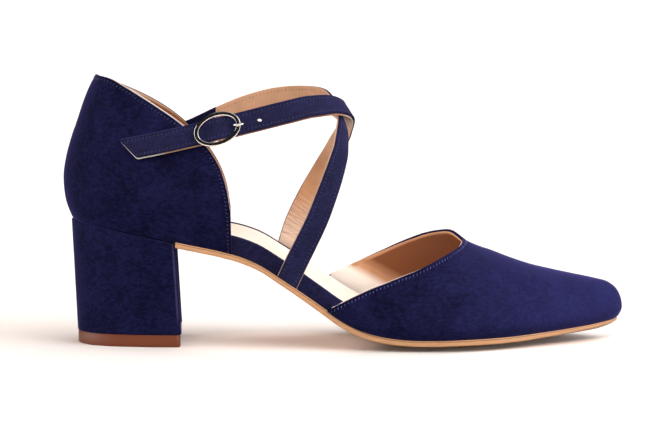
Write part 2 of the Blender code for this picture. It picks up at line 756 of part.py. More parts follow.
def make_buckle_tab():
    """The tab sewn to the counter, folded round the bar, with a slot for the prong's loop."""
    inner = WIRE_RADIUS + GAP
    outer = inner + TAB_THICK / 2
    top, bottom = TAB_LIFT + TAB_THICK / 2, TAB_LIFT - TAB_THICK / 2
    turns = np.radians(np.linspace(*TAB_FOLD_TURN, 13))
    profile = [(outer * math.cos(a), BAR_LIFT + outer * math.sin(a)) for a in turns]
    body = np.linspace(-TAB_FOLD_LENGTH, -TAB_LENGTH, 5)
    profile += [(place, bottom) for place in body] + [(place, top) for place in body[::-1]]
    builder = bmesh.new()
    walls = []
    for edge in (-TAB_WIDTH / 2, TAB_WIDTH / 2):
        points = under_strap([p[0] for p in profile], edge, [p[1] for p in profile])
        walls.append([builder.verts.new(p) for p in to_scene(points)])
    builder.faces.new(walls[0])
    builder.faces.new(walls[1][::-1])
    for k in range(len(profile)):
        n = (k + 1) % len(profile)
        builder.faces.new((walls[0][k], walls[0][n], walls[1][n], walls[1][k]))
    tab = add_object("buckle_tab", builder, NAVY_SUEDE)

    bar_way = add_cutter("bar_passage", at_buckle(0.0, [-TAB_WIDTH, TAB_WIDTH], BAR_LIFT), inner)
    boolean(tab, bar_way, "DIFFERENCE")
    builder = bmesh.new()
    bmesh.ops.create_cube(builder, size=1.0)
    _, along, across, out = buckle_frame_axes()
    size = Matrix.Diagonal((TAB_SLOT_LENGTH * MM, TAB_SLOT_WIDTH * MM, TAB_SLOT_DEPTH * MM, 1.0))
    turned = Matrix((along, across, out)).transposed().to_4x4()
    place = Vector(to_scene(at_buckle(0.0, 0.0, BAR_LIFT)))
    builder.transform(Matrix.Translation(place) @ turned @ size)
    slot = add_object("prong_slot", builder, NAVY_SUEDE, helper=True)
    boolean(tab, slot, "DIFFERENCE")


def main():
    for old in list(bpy.data.objects):
        bpy.data.objects.remove(old)
    make_outsole()
    make_insole()
    make_heel()
    make_upper()
    make_straps()
    make_buckle()
    make_buckle_tab()
    shoe = bpy.data.objects.new("shoe", None)
    bpy.context.scene.collection.objects.link(shoe)
    for made in bpy.context.scene.collection.objects:
        if made is not shoe:
            made.parent = shoe


main()
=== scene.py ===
"""Looks of the cross-strap court shoe for the right foot: suede, linings, footbed, soles, heel,
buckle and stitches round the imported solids, with a plain studio stage.

Tables and sizes in capitals are millimetres in the shoe's own frame, which the solids share.
"""

import math
from collections import Counter

import bmesh
import bpy
import numpy as np
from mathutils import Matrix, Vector
from mathutils.bvhtree import BVHTree


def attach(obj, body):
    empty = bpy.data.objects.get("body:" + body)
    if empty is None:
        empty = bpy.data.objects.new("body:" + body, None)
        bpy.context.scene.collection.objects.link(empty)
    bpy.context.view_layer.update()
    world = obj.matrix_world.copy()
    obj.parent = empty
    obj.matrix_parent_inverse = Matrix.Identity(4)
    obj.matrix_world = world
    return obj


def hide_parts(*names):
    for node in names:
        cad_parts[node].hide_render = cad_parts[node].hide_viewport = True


bl_info = {
    "name": "Cross-strap shoe",
    "version": (1, 0, 0),
    "blender": (4, 5, 0),
    "location": "View3D > Sidebar > Shoe",
    "description": "Builds the visible pieces of a suede cross-strap shoe round its solids",
    "category": "Object",
}

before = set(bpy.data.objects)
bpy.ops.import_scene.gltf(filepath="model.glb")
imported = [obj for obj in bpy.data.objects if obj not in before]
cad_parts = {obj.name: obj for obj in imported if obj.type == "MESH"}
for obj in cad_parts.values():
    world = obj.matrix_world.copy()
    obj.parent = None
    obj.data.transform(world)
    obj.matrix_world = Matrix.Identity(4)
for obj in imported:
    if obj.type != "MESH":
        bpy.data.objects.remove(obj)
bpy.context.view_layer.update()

MM = 0.001
BOX_MIDDLE = (117.381, -1.068)
UP = (0.0, 0.0, 1.0)
LATERAL = -1
MEDIAL = 1

# Stations along the last, and the play between pieces
HEEL_BACK = -0.7
COUNTER_FRONT = 69.5
VAMP_BACK = 110.5
THROAT = 169.5
TOE_TIP = 236.4
GAP = 0.3
SEAM = 0.08

# Soles
OUTSOLE_THICK = 3.0
OUTSOLE_EDGE_THICK = 2.2
OUTSOLE_TIP_THICK = 1.0
OUTSOLE_TAPER_FROM = 195.0
OUTSOLE_BACK_FADE = 75.0
OUTSOLE_PROUD = 0.5
NARROW_TIP = 14.0
INSOLE_INSET = 2.4

# Heel and tap
HEEL_BREAST = 45.4
HEEL_BREAST_HOLLOW = 1.2
HEEL_BREAST_SKEW = 2.0
HEEL_CORNER = 2.5
# How far behind the heel's front corner a line of painted highlight runs on its near side
HEEL_PAINTED_HIGHLIGHT = 0.9
HEEL_INSET = -0.1
HEEL_FOOT_SHIFT = 2.3
HEEL_FOOT_WIDTH_SHARE = 0.92
HEEL_FOOT_ROUND = 0.5
TAP_THICK = 5.2
TAP_INSET = 0.25

# Counter. Its lining has a share of its amount proud at each of these stations.
COUNTER_MEDIAL_SHARE = 0.965
COUNTER_LINING = (0.75, -0.12, 0.5)  # lateral_proud, medial_proud, behind_front_edge
COUNTER_PROUD_STATIONS = (13.0, 27.0, 50.0, 66.0)
COUNTER_PROUD_SHARES = (-0.7, 1.0, 0.9, 0.0)
STIFFENER_EDGE = (6.5, 8.5)
STIFFENER_THICK = 0.25

# Vamp. Its lining stands proud by these amounts at the proud stations.
VAMP_BULGE = 2.9
VAMP_BULGE_HEIGHT = 6.5
VAMP_RADIUS = 36.0
VAMP_BACK_ROWS = 64
VAMP_LINING = ((LATERAL, (-0.1, 0.22, 0.25)), (MEDIAL, (0.4, 0.4, -0.3)))
VAMP_LINING_BACK = (VAMP_BACK + 1.5, 150)  # station, rows_behind_throat
PROUD_STATIONS = (112.0, 118.0, 150.0)
PROUD_FADE = 20.0

# Cut edges and stitch rows
CUT_ROUND = {"suede": 0.4, "lining": 0.15}
SHARP_FROM = math.radians(48)
BEVEL_FROM = math.radians(50)
ROW_STEP = 1.2
ROW_TAIL_SETBACK = 0.45
STITCH_OUT = 0.76
STITCH_IN = -0.78

# Straps
STRAP_END_SPREAD = 14.0
TAIL_SLANT = 0.67
TAIL_EXTRA_SLANT = 0.055
TAIL_SETBACK = 0.3
TAIL_CORNER = 1.2
BUCKLE_SUEDE_INSET = 0.4
BUCKLE_LINING_EDGES = (0.3, 0.05)  # upper_inset, lower_proud
INSTEP_SUEDE_INSET = 0.2
STRAP_FACING_FROM = 60.6
FACING_OVERLAP = 1.0
FACING_PROUD = 0.1
FACING_SLANT = 0.42
WRINKLE_STEP = 0.2
STRAP_RISE_AT_BAR = 2.65
STRAP_RISE_HALF_LENGTH = 7.0

# The free hole
FREE_HOLE_FROM_BUCKLE = 18.4
HOLE_RADIUS = 0.95
HOLE_FLATNESS = 0.72
HOLE_DROP = 0.5
HOLE_REACH = (-3.0, 0.0, 3.0)

# Buckle
BUCKLE_STATION = 63.6
BUCKLE_HALF_LENGTH = 9.25
BUCKLE_HALF_WIDTH = 6.1
RING_AHEAD = 0.3
RING_DROP = 0.05
RING_TURN = 7.0
RING_LIFT = 2.45
BAR_LIFT = -0.5
WIRE_RADIUS = 0.65
WIRE_UP = (0.31, 0.77, 0.55)
PRONG_RADIUS = 0.48
PRONG_OVERHANG = 2.0
PRONG_DROP = 0.7
PRONG_PASSAGE_RADIUS = 0.62
PRONG_LOOP_RADIUS = 1.25
PRONG_LOOP_WIRE = 0.32

# Plan of the feather line, where the upper meets the sole
OUTLINE = (
    # station, centre, half_width
    (-0.7, 0.0, 0.0),
    (10.0, 0.0, 19.8),
    (25.0, -0.2, 24.6),
    (45.0, -0.6, 26.0),
    (70.0, -1.8, 26.0),
    (95.0, -3.0, 27.2),
    (120.0, -2.8, 32.0),
    (140.0, -2.2, 36.8),
    (155.0, -1.4, 39.0),
    (170.0, -0.2, 38.4),
    (185.0, 1.4, 34.8),
    (200.0, 3.0, 28.8),
    (215.0, 4.4, 21.6),
    (227.0, 5.2, 14.2),
    (236.4, 5.6, 0.0),
)

# Side profile of the top of the outsole: its edge, and how far its middle lies below the edge
BED = (
    # station, edge_height, middle_dip
    (-0.7, 54.6, 0.0),
    (25.0, 49.2, 0.0),
    (52.0, 43.8, 0.0),
    (65.0, 41.1, 0.0),
    (73.0, 38.9, 0.0),
    (82.0, 35.0, 0.1),
    (90.0, 29.8, 0.2),
    (99.0, 23.8, 0.4),
    (107.0, 18.2, 0.6),
    (115.7, 12.2, 1.0),
    (124.0, 8.1, 1.4),
    (132.6, 5.9, 1.8),
    (141.0, 4.9, 2.1),
    (155.0, 4.6, 2.1),
    (170.0, 4.9, 2.0),
    (188.0, 5.4, 1.6),
    (205.0, 6.5, 1.2),
    (224.0, 8.1, 0.8),
    (236.4, 9.5, 0.5),
)

# Thickness of the covered footbed at its outer edge, and how much thicker its arch side is
INSOLE = (
    # station, thickness, medial_rise
    (-0.7, 5.0, 0.0),
    (40.0, 5.6, 0.6),
    (60.0, 7.4, 1.4),
    (75.0, 8.2, 1.7),
    (90.0, 8.7, 1.8),
    (105.0, 8.9, 1.7),
    (117.0, 8.9, 1.2),
    (135.0, 7.0, 0.5),
    (160.0, 5.0, 0.0),
    (200.0, 3.6, 0.0),
    (236.4, 2.6, 0.0),
)

# Sections of the forefoot: ridge height over the feather line, ridge offset, squareness
FOREFOOT = (
    # station, ridge_height, ridge_offset, squareness
    (108.0, 86.0, 2.0, 2.2),
    (125.0, 75.0, 2.5, 2.2),
    (140.0, 64.5, 3.0, 2.15),
    (150.0, 56.5, 3.2, 2.1),
    (160.0, 48.2, 3.2, 2.1),
    (165.0, 43.9, 3.1, 2.1),
    (170.0, 39.0, 3.0, 2.1),
    (175.0, 36.4, 2.7, 2.12),
    (181.4, 34.0, 2.4, 2.15),
    (190.0, 30.3, 1.8, 2.2),
    (198.8, 26.8, 1.2, 2.3),
    (207.6, 24.0, 0.8, 2.4),
    (216.3, 21.4, 0.4, 2.5),
    (226.0, 18.4, 0.2, 2.6),
    (232.5, 15.4, 0.0, 2.7),
    (235.5, 10.4, 0.0, 2.7),
    (236.4, 0.0, 0.0, 2.7),
)

# Cut edge of the vamp behind the throat, as heights above the floor on each side of the foot
VAMP_TOPLINE = (
    # station, lateral_height, medial_height
    (110.5, 17.4, 25.4),
    (125.8, 25.3, 32.8),
    (137.4, 30.2, 38.2),
    (150.6, 35.5, 44.0),
    (160.0, 39.9, 46.8),
    (165.0, 42.2, 47.3),
)

# Lean of the counter: how far it stands out from the feather line at each height
COUNTER_LEAN = (
    # height, at_back, at_side
    (0.0, 0.0, 0.0),
    (6.0, 2.3, 1.6),
    (12.0, 3.3, 2.5),
    (18.0, 3.5, 2.8),
    (26.0, 2.3, 2.4),
    (34.0, 0.1, 1.4),
    (42.0, -2.7, 0.0),
    (51.0, -5.8, -1.8),
    (57.0, -8.4, -3.0),
    (62.0, -11.2, -4.0),
)

# Cut edge of the counter, as heights above the floor
COUNTER_TOPLINE = (
    # station, lateral_height, medial_height
    (-0.7, 116.2, 116.2),
    (5.0, 116.0, 115.2),
    (10.0, 115.9, 114.2),
    (16.0, 114.8, 112.5),
    (22.0, 111.9, 110.4),
    (29.0, 108.1, 107.5),
    (38.0, 102.6, 102.9),
    (49.5, 94.5, 94.5),
    (59.8, 85.1, 83.5),
    (63.6, 79.4, 77.4),
    (66.4, 72.9, 71.2),
    (68.5, 64.2, 63.3),
    (69.5, 56.0, 56.5),
)

# Middle line of each strap, with the way that its suede side faces
BUCKLE_STRAP = (
    # x, y, z, out_x, out_y, out_z
    (25.6, -27.9, 84.9, -0.20, -0.96, 0.17),
    (40.0, -29.9, 87.9, -0.06, -0.98, 0.19),
    (52.0, -30.2, 90.6, 0.00, -0.98, 0.19),
    (64.1, -30.4, 93.5, 0.03, -0.98, 0.18),
    (78.0, -29.8, 97.0, 0.12, -0.97, 0.20),
    (92.0, -27.0, 100.4, 0.30, -0.92, 0.25),
    (103.4, -21.0, 102.8, 0.52, -0.72, 0.45),
    (111.9, -12.7, 102.5, 0.69, -0.41, 0.60),
    (118.0, -3.1, 99.4, 0.80, -0.10, 0.59),
    (117.3, 5.7, 92.8, 0.92, 0.18, 0.36),
    (113.9, 15.0, 83.6, 0.75, 0.61, 0.27),
    (108.3, 22.6, 72.9, 0.40, 0.88, 0.25),
    (101.4, 26.2, 60.5, 0.14, 0.97, 0.19),
    (96.2, 26.3, 49.6, 0.08, 0.99, 0.09),
    (92.7, 23.9, 39.1, 0.04, 1.00, 0.02),
    (89.6, 23.4, 30.6, 0.00, 1.00, 0.00),
)
INSTEP_STRAP = (
    # x, y, z, out_x, out_y, out_z
    (93.1, -29.2, 28.4, 0.00, -1.00, 0.00),
    (96.9, -29.6, 36.6, 0.04, -1.00, 0.03),
    (101.2, -30.3, 45.3, 0.17, -0.98, 0.05),
    (105.5, -29.9, 54.2, 0.31, -0.94, 0.14),
    (109.5, -27.2, 64.3, 0.46, -0.86, 0.22),
    (113.3, -22.7, 75.0, 0.66, -0.69, 0.29),
    (116.4, -16.3, 85.7, 0.84, -0.39, 0.35),
    (117.9, -9.2, 93.1, 0.91, -0.12, 0.38),
    (116.8, -0.9, 99.1, 0.93, 0.11, 0.34),
    (113.9, 8.0, 102.0, 0.84, 0.45, 0.32),
    (108.9, 15.8, 104.8, 0.53, 0.77, 0.37),
    (100.0, 22.4, 105.6, 0.30, 0.91, 0.27),
    (87.0, 26.6, 104.4, 0.12, 0.98, 0.16),
    (75.0, 27.6, 101.2, 0.04, 0.98, 0.16),
    (62.6, 27.3, 96.2, 0.00, 0.98, 0.18),
    (50.0, 26.6, 90.4, -0.02, 0.98, 0.19),
    (37.0, 27.4, 86.0, -0.08, 0.98, 0.18),
)

# The shadow groove where the heel's cover turns in under the upper
HEEL_GROOVE = (
    # inset, drop
    (2.3, 0.0),
    (2.1, 0.02),
    (1.9, 0.55),
    (0.9, 0.6),
    (0.45, 0.7),
    (0.15, 0.92),
    (0.0, 1.35),
)

# Rings of the heel tap, from its top to its foot
TAP = (
    # inset, height
    (0.9, TAP_THICK),
    (0.1, TAP_THICK),
    (0.0, TAP_THICK - 0.1),
    (0.0, 0.4),
    (0.12, 0.12),
    (0.4, 0.0),
)

# The prong from the bar to its tip over the ring
PRONG = (
    # along_share, rise_share
    (0.00, 0.00),
    (0.28, 0.08),
    (0.46, 0.34),
    (0.64, 0.88),
    (0.74, 1.00),
    (1.00, 0.98),
)

# Section of the ring, with a flat face between two bevels
RING_SECTION = (
    # across, out
    (0.92, 0.00),
    (0.91, 0.20),
    (0.86, 0.40),
    (0.78, 0.50),
    (0.68, 0.54),
    (0.30, 0.56),
    (-0.30, 0.56),
    (-0.68, 0.54),
    (-0.78, 0.50),
    (-0.86, 0.40),
    (-0.91, 0.20),
    (-0.92, 0.00),
    (-0.86, -0.30),
    (-0.55, -0.52),
    (0.55, -0.52),
    (0.86, -0.30),
)

# Half of the buckle's bar, from the ring to the middle
BAR_DIP = (
    # across_share, lift
    (1.00, RING_LIFT),
    (0.98, 1.2),
    (0.93, 0.2),
    (0.84, BAR_LIFT),
    (0.40, BAR_LIFT),
    (0.00, BAR_LIFT),
)

# Soft troughs across the lining of the buckle strap, above the end that is sewn to the sole
STRAP_WRINKLES = (
    # above_end, slant, depth, half_width
    (13.0, 0.22, 0.34, 0.34),
    (14.3, -0.06, 0.44, 0.30),
    (15.4, 0.28, 0.38, 0.32),
    (16.8, 0.10, 0.50, 0.36),
    (18.1, -0.12, 0.42, 0.30),
    (19.3, 0.20, 0.50, 0.34),
    (20.7, 0.34, 0.38, 0.32),
    (22.0, 0.04, 0.50, 0.36),
    (23.4, 0.22, 0.44, 0.34),
    (24.7, -0.10, 0.42, 0.32),
    (26.2, 0.16, 0.46, 0.38),
    (27.9, 0.30, 0.36, 0.36),
    (29.8, 0.06, 0.36, 0.40),
    (32.0, 0.24, 0.28, 0.45),
    (35.0, 0.10, 0.20, 0.50),
)

# Soft folds in the arch side of the vamp's lining, by a slanted place along it
VAMP_FOLD_SLANT = 1.9
VAMP_FOLD_LEVEL = 30.0
VAMP_FOLD_FADE = 20.0
VAMP_WRINKLES = (
    # place, depth, half_width
    (104.0, 0.06, 1.6),
    (109.5, 0.08, 1.4),
    (113.6, 0.12, 1.5),
    (117.0, 0.16, 1.2),
    (119.6, 0.18, 1.0),
    (122.4, 0.26, 1.4),
    (126.0, 0.22, 1.6),
    (131.5, 0.20, 2.0),
)

# Relief of a turned edge, and of the trough that its stitches pull in
EDGE_RELIEF = (
    # rise, inset_share, half_width
    (0.12, 0.5, 0.6),
    (-0.2, 1.0, 0.4),
)

# Layers of a strap, out of its middle
SUEDE_LAYER = (-0.2, 0.9, 0.6)  # low, high, rounding
LINING_LAYER = (-0.8, -0.25, 0.2)
FACING_LAYER = (-1.25, -0.25, 0.15)

# Tones of the linings, pale up to 1 and deep down to -1, and of worn suede. Most lining tones are painted
# light and painted shade; the rest are pale cut edges.
# Two rows in brackets are places and the tones or shares there.
# Painted light and shade in the vamp lining: pale at the back where light falls in, deep in the shaded toe,
# either side of a slanted line
VAMP_TONE_LINE = (119.4, 31.0, 1.73)  # station, height, slant
VAMP_TONE = ((-4, 3, 4, 15), (1, 0, 0, -1))
# Near the vamp lining's cut edge the near side is a pale cut edge, and the far side keeps a light painted
# shade
VAMP_EDGE_SHARE = ((2.0, 2.3), (1, 0))
VAMP_EDGE_TONES = (0.6, -0.2)  # lateral, medial
# The counter's near lining has a pale cut edge along its top; the far lining is paler along its top, with a
# band of painted shade below
COUNTER_NEAR_TONE = ((1.0, 2.0), (0.8, 0))
COUNTER_NEAR_FADE = ((14, 24), (0, 1))
COUNTER_FAR_TONE = ((1.6, 2.2), (0.25, 0))
COUNTER_FAR_SHADE = (3.0, 0.8)  # below_edge, half_width
COUNTER_FAR_FADE = ((0, 8), (0, 1))
# Painted light and shade on the buckle strap's lining: on the near side pale towards the tail and at the
# turn, deep in the shade between; on the far side pale low down and near the top
STRAP_NEAR_TONE = ((37, 43, 62, 80, 108, 120), (0.9, 0.1, 0.0, -1.0, -1.0, 0.45))
STRAP_FAR_TONE = ((46, 62, 74, 90), (0.35, 0.0, 0.0, 0.2))
STRAP_WORN = 0.08


def linear(code):
    """Linear red, green and blue of an sRGB hex code."""
    parts = [int(code[k : k + 2], 16) / 255 for k in (0, 2, 4)]
    return tuple(p / 12.92 if p <= 0.04045 else ((p + 0.055) / 1.055) ** 2.4 for p in parts)


def size_prop(name, text, millimetres):
    return bpy.props.FloatProperty(
        name=name, description=text, default=millimetres * MM, subtype="DISTANCE", unit="LENGTH"
    )


def colour_prop(name, text, code):
    return bpy.props.FloatVectorProperty(
        name=name, description=text, default=linear(code), size=3, min=0, max=1, subtype="COLOR"
    )


class ShoeSizes(bpy.types.PropertyGroup):
    """Sizes that a maker would change without changing the last."""

    suede: size_prop("Suede", "Thickness of the suede with its stiffener", 1.15)
    lining: size_prop("Lining", "Thickness of the lining leather", 0.6)
    strap: size_prop("Strap", "Width of both straps", 9.8)
    stitch_inset: size_prop("Stitch inset", "Distance of a stitch row from its edge", 1.5)
    stitch_pitch: size_prop("Stitch pitch", "Distance from one stitch to the next", 1.65)
    stitch_length: size_prop("Stitch length", "Thread that shows between two holes", 1.25)
    thread: size_prop("Thread", "Width of the sewing thread", 0.36)
    stitch_slant: bpy.props.FloatProperty(
        name="Stitch slant",
        description="Turn of each stitch from its row",
        default=math.radians(60),
        subtype="ANGLE",
        unit="ROTATION",
    )


class ShoeColours(bpy.types.PropertyGroup):
    """Colours of the finishes."""

    # The flat and raised nap colours mix at random, and they also carry the painted light that grows
    # lighter towards the toe
    suede_dark: colour_prop("Suede, flat nap", "Nap that lies flat", "0c0c26")
    suede_light: colour_prop("Suede, raised nap", "Nap that is brushed up", "2a2a5d")
    # The rubbed colour is real wear on the straps and footbed, and a painted highlight along the heel's
    # front corner
    suede_worn_and_lit: colour_prop("Suede, rubbed", "Nap that is rubbed pale by folding and handling", "66648e")
    lining: colour_prop("Lining", "Lining leather", "d09a72")
    # The pale lining colour serves pale cut edges and painted light; the deep one is painted shade, in the
    # toe and wherever the linings lie in shade
    lining_cut_and_lit: colour_prop("Lining, stretched", "Lining leather where it is bent or cut", "fff5ea")
    lining_shaded: colour_prop("Lining, toe", "Lining leather in the toe", "7c4627")
    sock: colour_prop("Sock", "Sock leather of the footbed", "fbf1e6")
    sole: colour_prop("Sole", "Sole leather and its edge", "dfa474")
    tap: colour_prop("Heel tap", "Rubber under the heel", "783a1e")
    thread: colour_prop("Thread", "Sewing thread on the counter and the straps", "2c2c5a")
    vamp_thread: colour_prop("Vamp thread", "Sewing thread on the vamp", "5c5c98")
    lining_thread: colour_prop("Lining thread", "Sewing thread on the lining", "b98a66")
    wire: colour_prop("Buckle", "Plated wire of the buckle", "e6e4e0")
    floor: colour_prop("Floor", "Paper floor", "f4f4f4")


def hermite(knots, values, at):
    """A smooth curve through the values at the knots, read at the given places."""
    at = np.clip(np.asarray(at, float), knots[0], knots[-1])
    slopes = np.gradient(values, knots, axis=0)
    left = np.clip(np.searchsorted(knots, at, side="right") - 1, 0, len(knots) - 2)
    step = knots[left + 1] - knots[left]
    t = (at - knots[left]) / step
    if np.ndim(values) == 2:
        step, t = step[..., None], t[..., None]
    return (
        (2 * t**3 - 3 * t**2 + 1) * values[left]
        + (t**3 - 2 * t**2 + t) * step * slopes[left]
        + (3 * t**2 - 2 * t**3) * values[left + 1]
        + (t**3 - t**2) * step * slopes[left + 1]
    )


def turn_of(station):
    """The angle that sweeps a half circle from the heel back to the toe tip at this station."""
    share = (np.asarray(station, float) - HEEL_BACK) / (TOE_TIP - HEEL_BACK)
    return np.arccos(np.clip(1 - 2 * share, -1, 1))


def station_of(turn):
    return HEEL_BACK + (TOE_TIP - HEEL_BACK) / 2 * (1 - np.cos(turn))


def by_station(table, column, station):
    rows = np.array(table, float)
    return hermite(rows[:, 0], rows[:, column], station)


def by_turn(table, column, turn):
    """As by_station, but rounded off at the heel back and the toe tip."""
    rows = np.array(table, float)
    return hermite(turn_of(rows[:, 0]), rows[:, column], turn)


def outline(turn, side, inset=0.0):
    """Points of the feather line on one side, moved inwards, and their outward normals."""

    def edge(at):
        return station_of(at), by_turn(OUTLINE, 1, at) + side * by_turn(OUTLINE, 2, at)

    nudge = 1e-4
    low = np.clip(turn - nudge, 0, math.pi)
    high = np.clip(turn + nudge, 0, math.pi)
    along = np.subtract(edge(high), edge(low))
    along = along / np.hypot(*along)
    normal = side * np.array((-along[1], along[0]))
    x, y = np.array(edge(turn)) - inset * normal
    return x, y, normal[0], normal[1]


def bed_height(station, middle):
    """Height of the top of the outsole: middle is 0 at its edges and 1 along its middle line."""
    return by_station(BED, 1, station) - by_station(BED, 2, station) * middle


def sole_plan(turns, depths, columns, inset):
    """Plan points over the sole with columns crowded at its edges, their depth from the edge,
    and how near each is to the middle line and to the arch."""
    sides = [
        [np.stack(outline(turns, side, inset + depth)[:2], -1) for depth in depths]
        for side in (LATERAL, MEDIAL)
    ]
    shares = np.linspace(0, 1, columns + 2)[1:-1]
    inner = [sides[0][-1] * (1 - s) + sides[1][-1] * s for s in shares]
    plan = np.stack(sides[0] + inner + sides[1][::-1], axis=1)
    width = sides[1][0][:, 1] - sides[0][0][:, 1]
    share = (plan[..., 1] - sides[0][0][:, 1:]) / np.maximum(width, 1e-6)[:, None]
    share = np.where(width[:, None] > 1e-3, np.clip(share, 0, 1), 0.5)
    middle = (1 - (2 * share - 1) ** 2) * np.clip(width / 2 / NARROW_TIP, 0, 1)[:, None]
    depth = np.array([*depths, *[depths[-1]] * columns, *depths[::-1]])
    return plan[..., 0], plan[..., 1], np.broadcast_to(depth, share.shape), middle, share


def edge_drop(depth, radius):
    """How far a rounded edge lies below its flat at a depth from the border."""
    into = np.clip(radius - depth, 0, radius)
    return radius - np.sqrt(radius**2 - into**2)


def breast_shift(middle, arch):
    """How far the heel's front face lies behind its outer corner."""
    return HEEL_BREAST_HOLLOW * middle + HEEL_BREAST_SKEW * arch


def forefoot_point(station, side, angle):
    """The upper's outer surface: angle 0 is the feather line and a right angle is the ridge."""
    turn = turn_of(station)
    x, y_edge, out_x, out_y = outline(turn, side)
    other_out_x = outline(turn, -side)[2]
    z_edge = by_station(BED, 1, station) + SEAM
    ridge_y = by_turn(OUTLINE, 1, turn) + by_turn(FOREFOOT, 2, turn)
    height = by_turn(FOREFOOT, 1, turn)
    power = 2 / by_turn(FOREFOOT, 3, turn)
    inwards = np.clip(np.cos(angle), 0, 1) ** power
    rise = height * np.sin(angle) ** power
    lean = rise / VAMP_BULGE_HEIGHT
    bulge = VAMP_BULGE * lean * np.exp(1 - lean)
    ahead = ((1 + inwards) * out_x + (1 - inwards) * other_out_x) / 2
    return np.stack(
        (
            x + bulge * ahead,
            ridge_y + (y_edge - ridge_y) * inwards + bulge * out_y * inwards,
            z_edge + rise,
        ),
        axis=-1,
    )


def vamp_cut_angle(station, side):
    """The angle of the vamp's cut edge at a station, which is the ridge from the throat on.

    Read against the root of the distance from the throat, so that the throat is round.
    """
    rows = np.array(VAMP_TOPLINE, float)[::-1]
    known = rows[:, 0]
    turn = turn_of(known)
    height = rows[:, 1 if side == LATERAL else 2]
    share = (height - by_station(BED, 1, known) - GAP) / by_turn(FOREFOOT, 1, turn)
    angle = np.arcsin(share ** (by_turn(FOREFOOT, 3, turn) / 2))
    knots = np.concatenate(((0.0,), np.sqrt(THROAT - known)))
    angles = np.concatenate(((math.pi / 2,), angle))
    return hermite(knots, angles, np.sqrt(np.clip(THROAT - station, 0, None)))


# How rows crowd towards the throat and the counter's front edges, and columns towards the cut edges
CROWD_ALONG = 1.3
CROWD_UP = 1.35


def crowded(count, power):
    """Shares from 0 to 1 that crowd towards 1."""
    return 1 - (1 - np.linspace(0, 1, count)) ** power


def vamp_grid(side, proud=(0.0, 0.0, 0.0), back=VAMP_BACK, back_rows=VAMP_BACK_ROWS):
    """One side of the vamp, from its back corner to the toe tip and from feather line to ridge.

    It can stand proud of its cut edge, by an amount for each of the proud stations.
    """
    behind = THROAT - np.linspace(math.sqrt(THROAT - back), 0, back_rows)[:-1] ** 2
    first = turn_of(THROAT)
    ahead = station_of(first + (math.pi - first) * np.linspace(0, 1, 90) ** CROWD_ALONG)
    station = np.concatenate((behind, ahead))[:, None]
    past_edge = np.interp(station, PROUD_STATIONS, proud) / VAMP_RADIUS
    past_edge = past_edge * np.clip((THROAT - station) / PROUD_FADE, 0, 1)
    angle = (vamp_cut_angle(station, side) + past_edge) * crowded(46, CROWD_UP)
    return forefoot_point(np.broadcast_to(station, angle.shape), side, angle)


def counter_point(station, side, height):
    """The counter's outer surface at a height above the feather line."""
    x, y, out_x, out_y = outline(turn_of(station), side)
    at_back = by_station(COUNTER_LEAN, 1, height)
    at_side = by_station(COUNTER_LEAN, 2, height)
    out = at_side + (at_back - at_side) * out_x**2
    z = by_station(BED, 1, station) + SEAM + height
    return np.stack((x + out * out_x, y + out * out_y, z), axis=-1)


def counter_grid(lateral_proud=0.0, medial_proud=0.0, setback=0.0):
    """The counter from its lateral front edge round the heel to its medial front edge.

    Each side can stand proud of its top edge, and both can stop behind the front edge.
    """
    stations = station_of(turn_of(COUNTER_FRONT - setback) * crowded(84, CROWD_ALONG))
    sides = (
        (LATERAL, stations[::-1], 1.0, lateral_proud),
        (MEDIAL, stations[1:], COUNTER_MEDIAL_SHARE, medial_proud),
    )
    walls = []
    for side, order, share, proud in sides:
        station = order[:, None] * share
        top = by_station(COUNTER_TOPLINE, 1 if side == LATERAL else 2, order[:, None])
        shown = np.interp(order[:, None], COUNTER_PROUD_STATIONS, COUNTER_PROUD_SHARES)
        full = top - by_station(BED, 1, station) - GAP + proud * shown
        height = full * crowded(44, CROWD_UP)
        walls.append(counter_point(np.broadcast_to(station, height.shape), side, height))
    return np.concatenate(walls)


def unit(vectors):
    return vectors / np.linalg.norm(vectors, axis=-1, keepdims=True)


def run_of(line):
    """Distance along a line to each of its points."""
    return np.concatenate(((0.0,), np.cumsum(np.linalg.norm(np.diff(line, axis=0), axis=1))))


class Strap:
    """A strap's middle line, read by distance along it from its first row."""

    def __init__(self, table):
        self.rows = np.array(table, float)
        self.knots = run_of(self.rows[:, :3])
        self.length = self.knots[-1]

    def middle(self, at):
        return hermite(self.knots, self.rows[:, :3], at)

    def frame(self, at):
        """Middle points with the way along, the way across and the way out at each."""
        at = np.asarray(at, float)
        nudge = 0.05
        along = unit(self.middle(at + nudge) - self.middle(at - nudge))
        out = hermite(self.knots, self.rows[:, 3:], at)
        out = unit(out - along * (out * along).sum(-1, keepdims=True))
        return self.middle(at), along, np.cross(along, out), out

    def at_station(self, x, last=False):
        """The distance of the first place at this station, or of the last."""
        fine = np.linspace(0, self.length, 2000)[:: -1 if last else 1]
        return fine[np.argmax(self.middle(fine)[:, 0] >= x)]


def feather_slope(station, side):
    """The way that the feather line runs at a station."""
    ends = []
    for x in (station - 1, station + 1):
        turn = turn_of(x)
        ends.append((x, outline(turn, side)[1], by_station(BED, 1, x)))
    return unit(np.subtract(ends[1], ends[0]))


BUCKLE_LINE = Strap(BUCKLE_STRAP)
INSTEP_LINE = Strap(INSTEP_STRAP)
BUCKLE_AT = BUCKLE_LINE.at_station(BUCKLE_STATION)


def strap_ends(line):
    """Where each end lies along a strap, and the way that its cut runs."""
    if line is INSTEP_LINE:
        return [(0.0, feather_slope(INSTEP_STRAP[0][0], LATERAL))]
    _, along, across, _ = line.frame(np.array([0.0]))
    sewn = (line.length, feather_slope(BUCKLE_STRAP[-1][0], MEDIAL))
    return [(0.0, across[0] + TAIL_SLANT * along[0]), sewn]


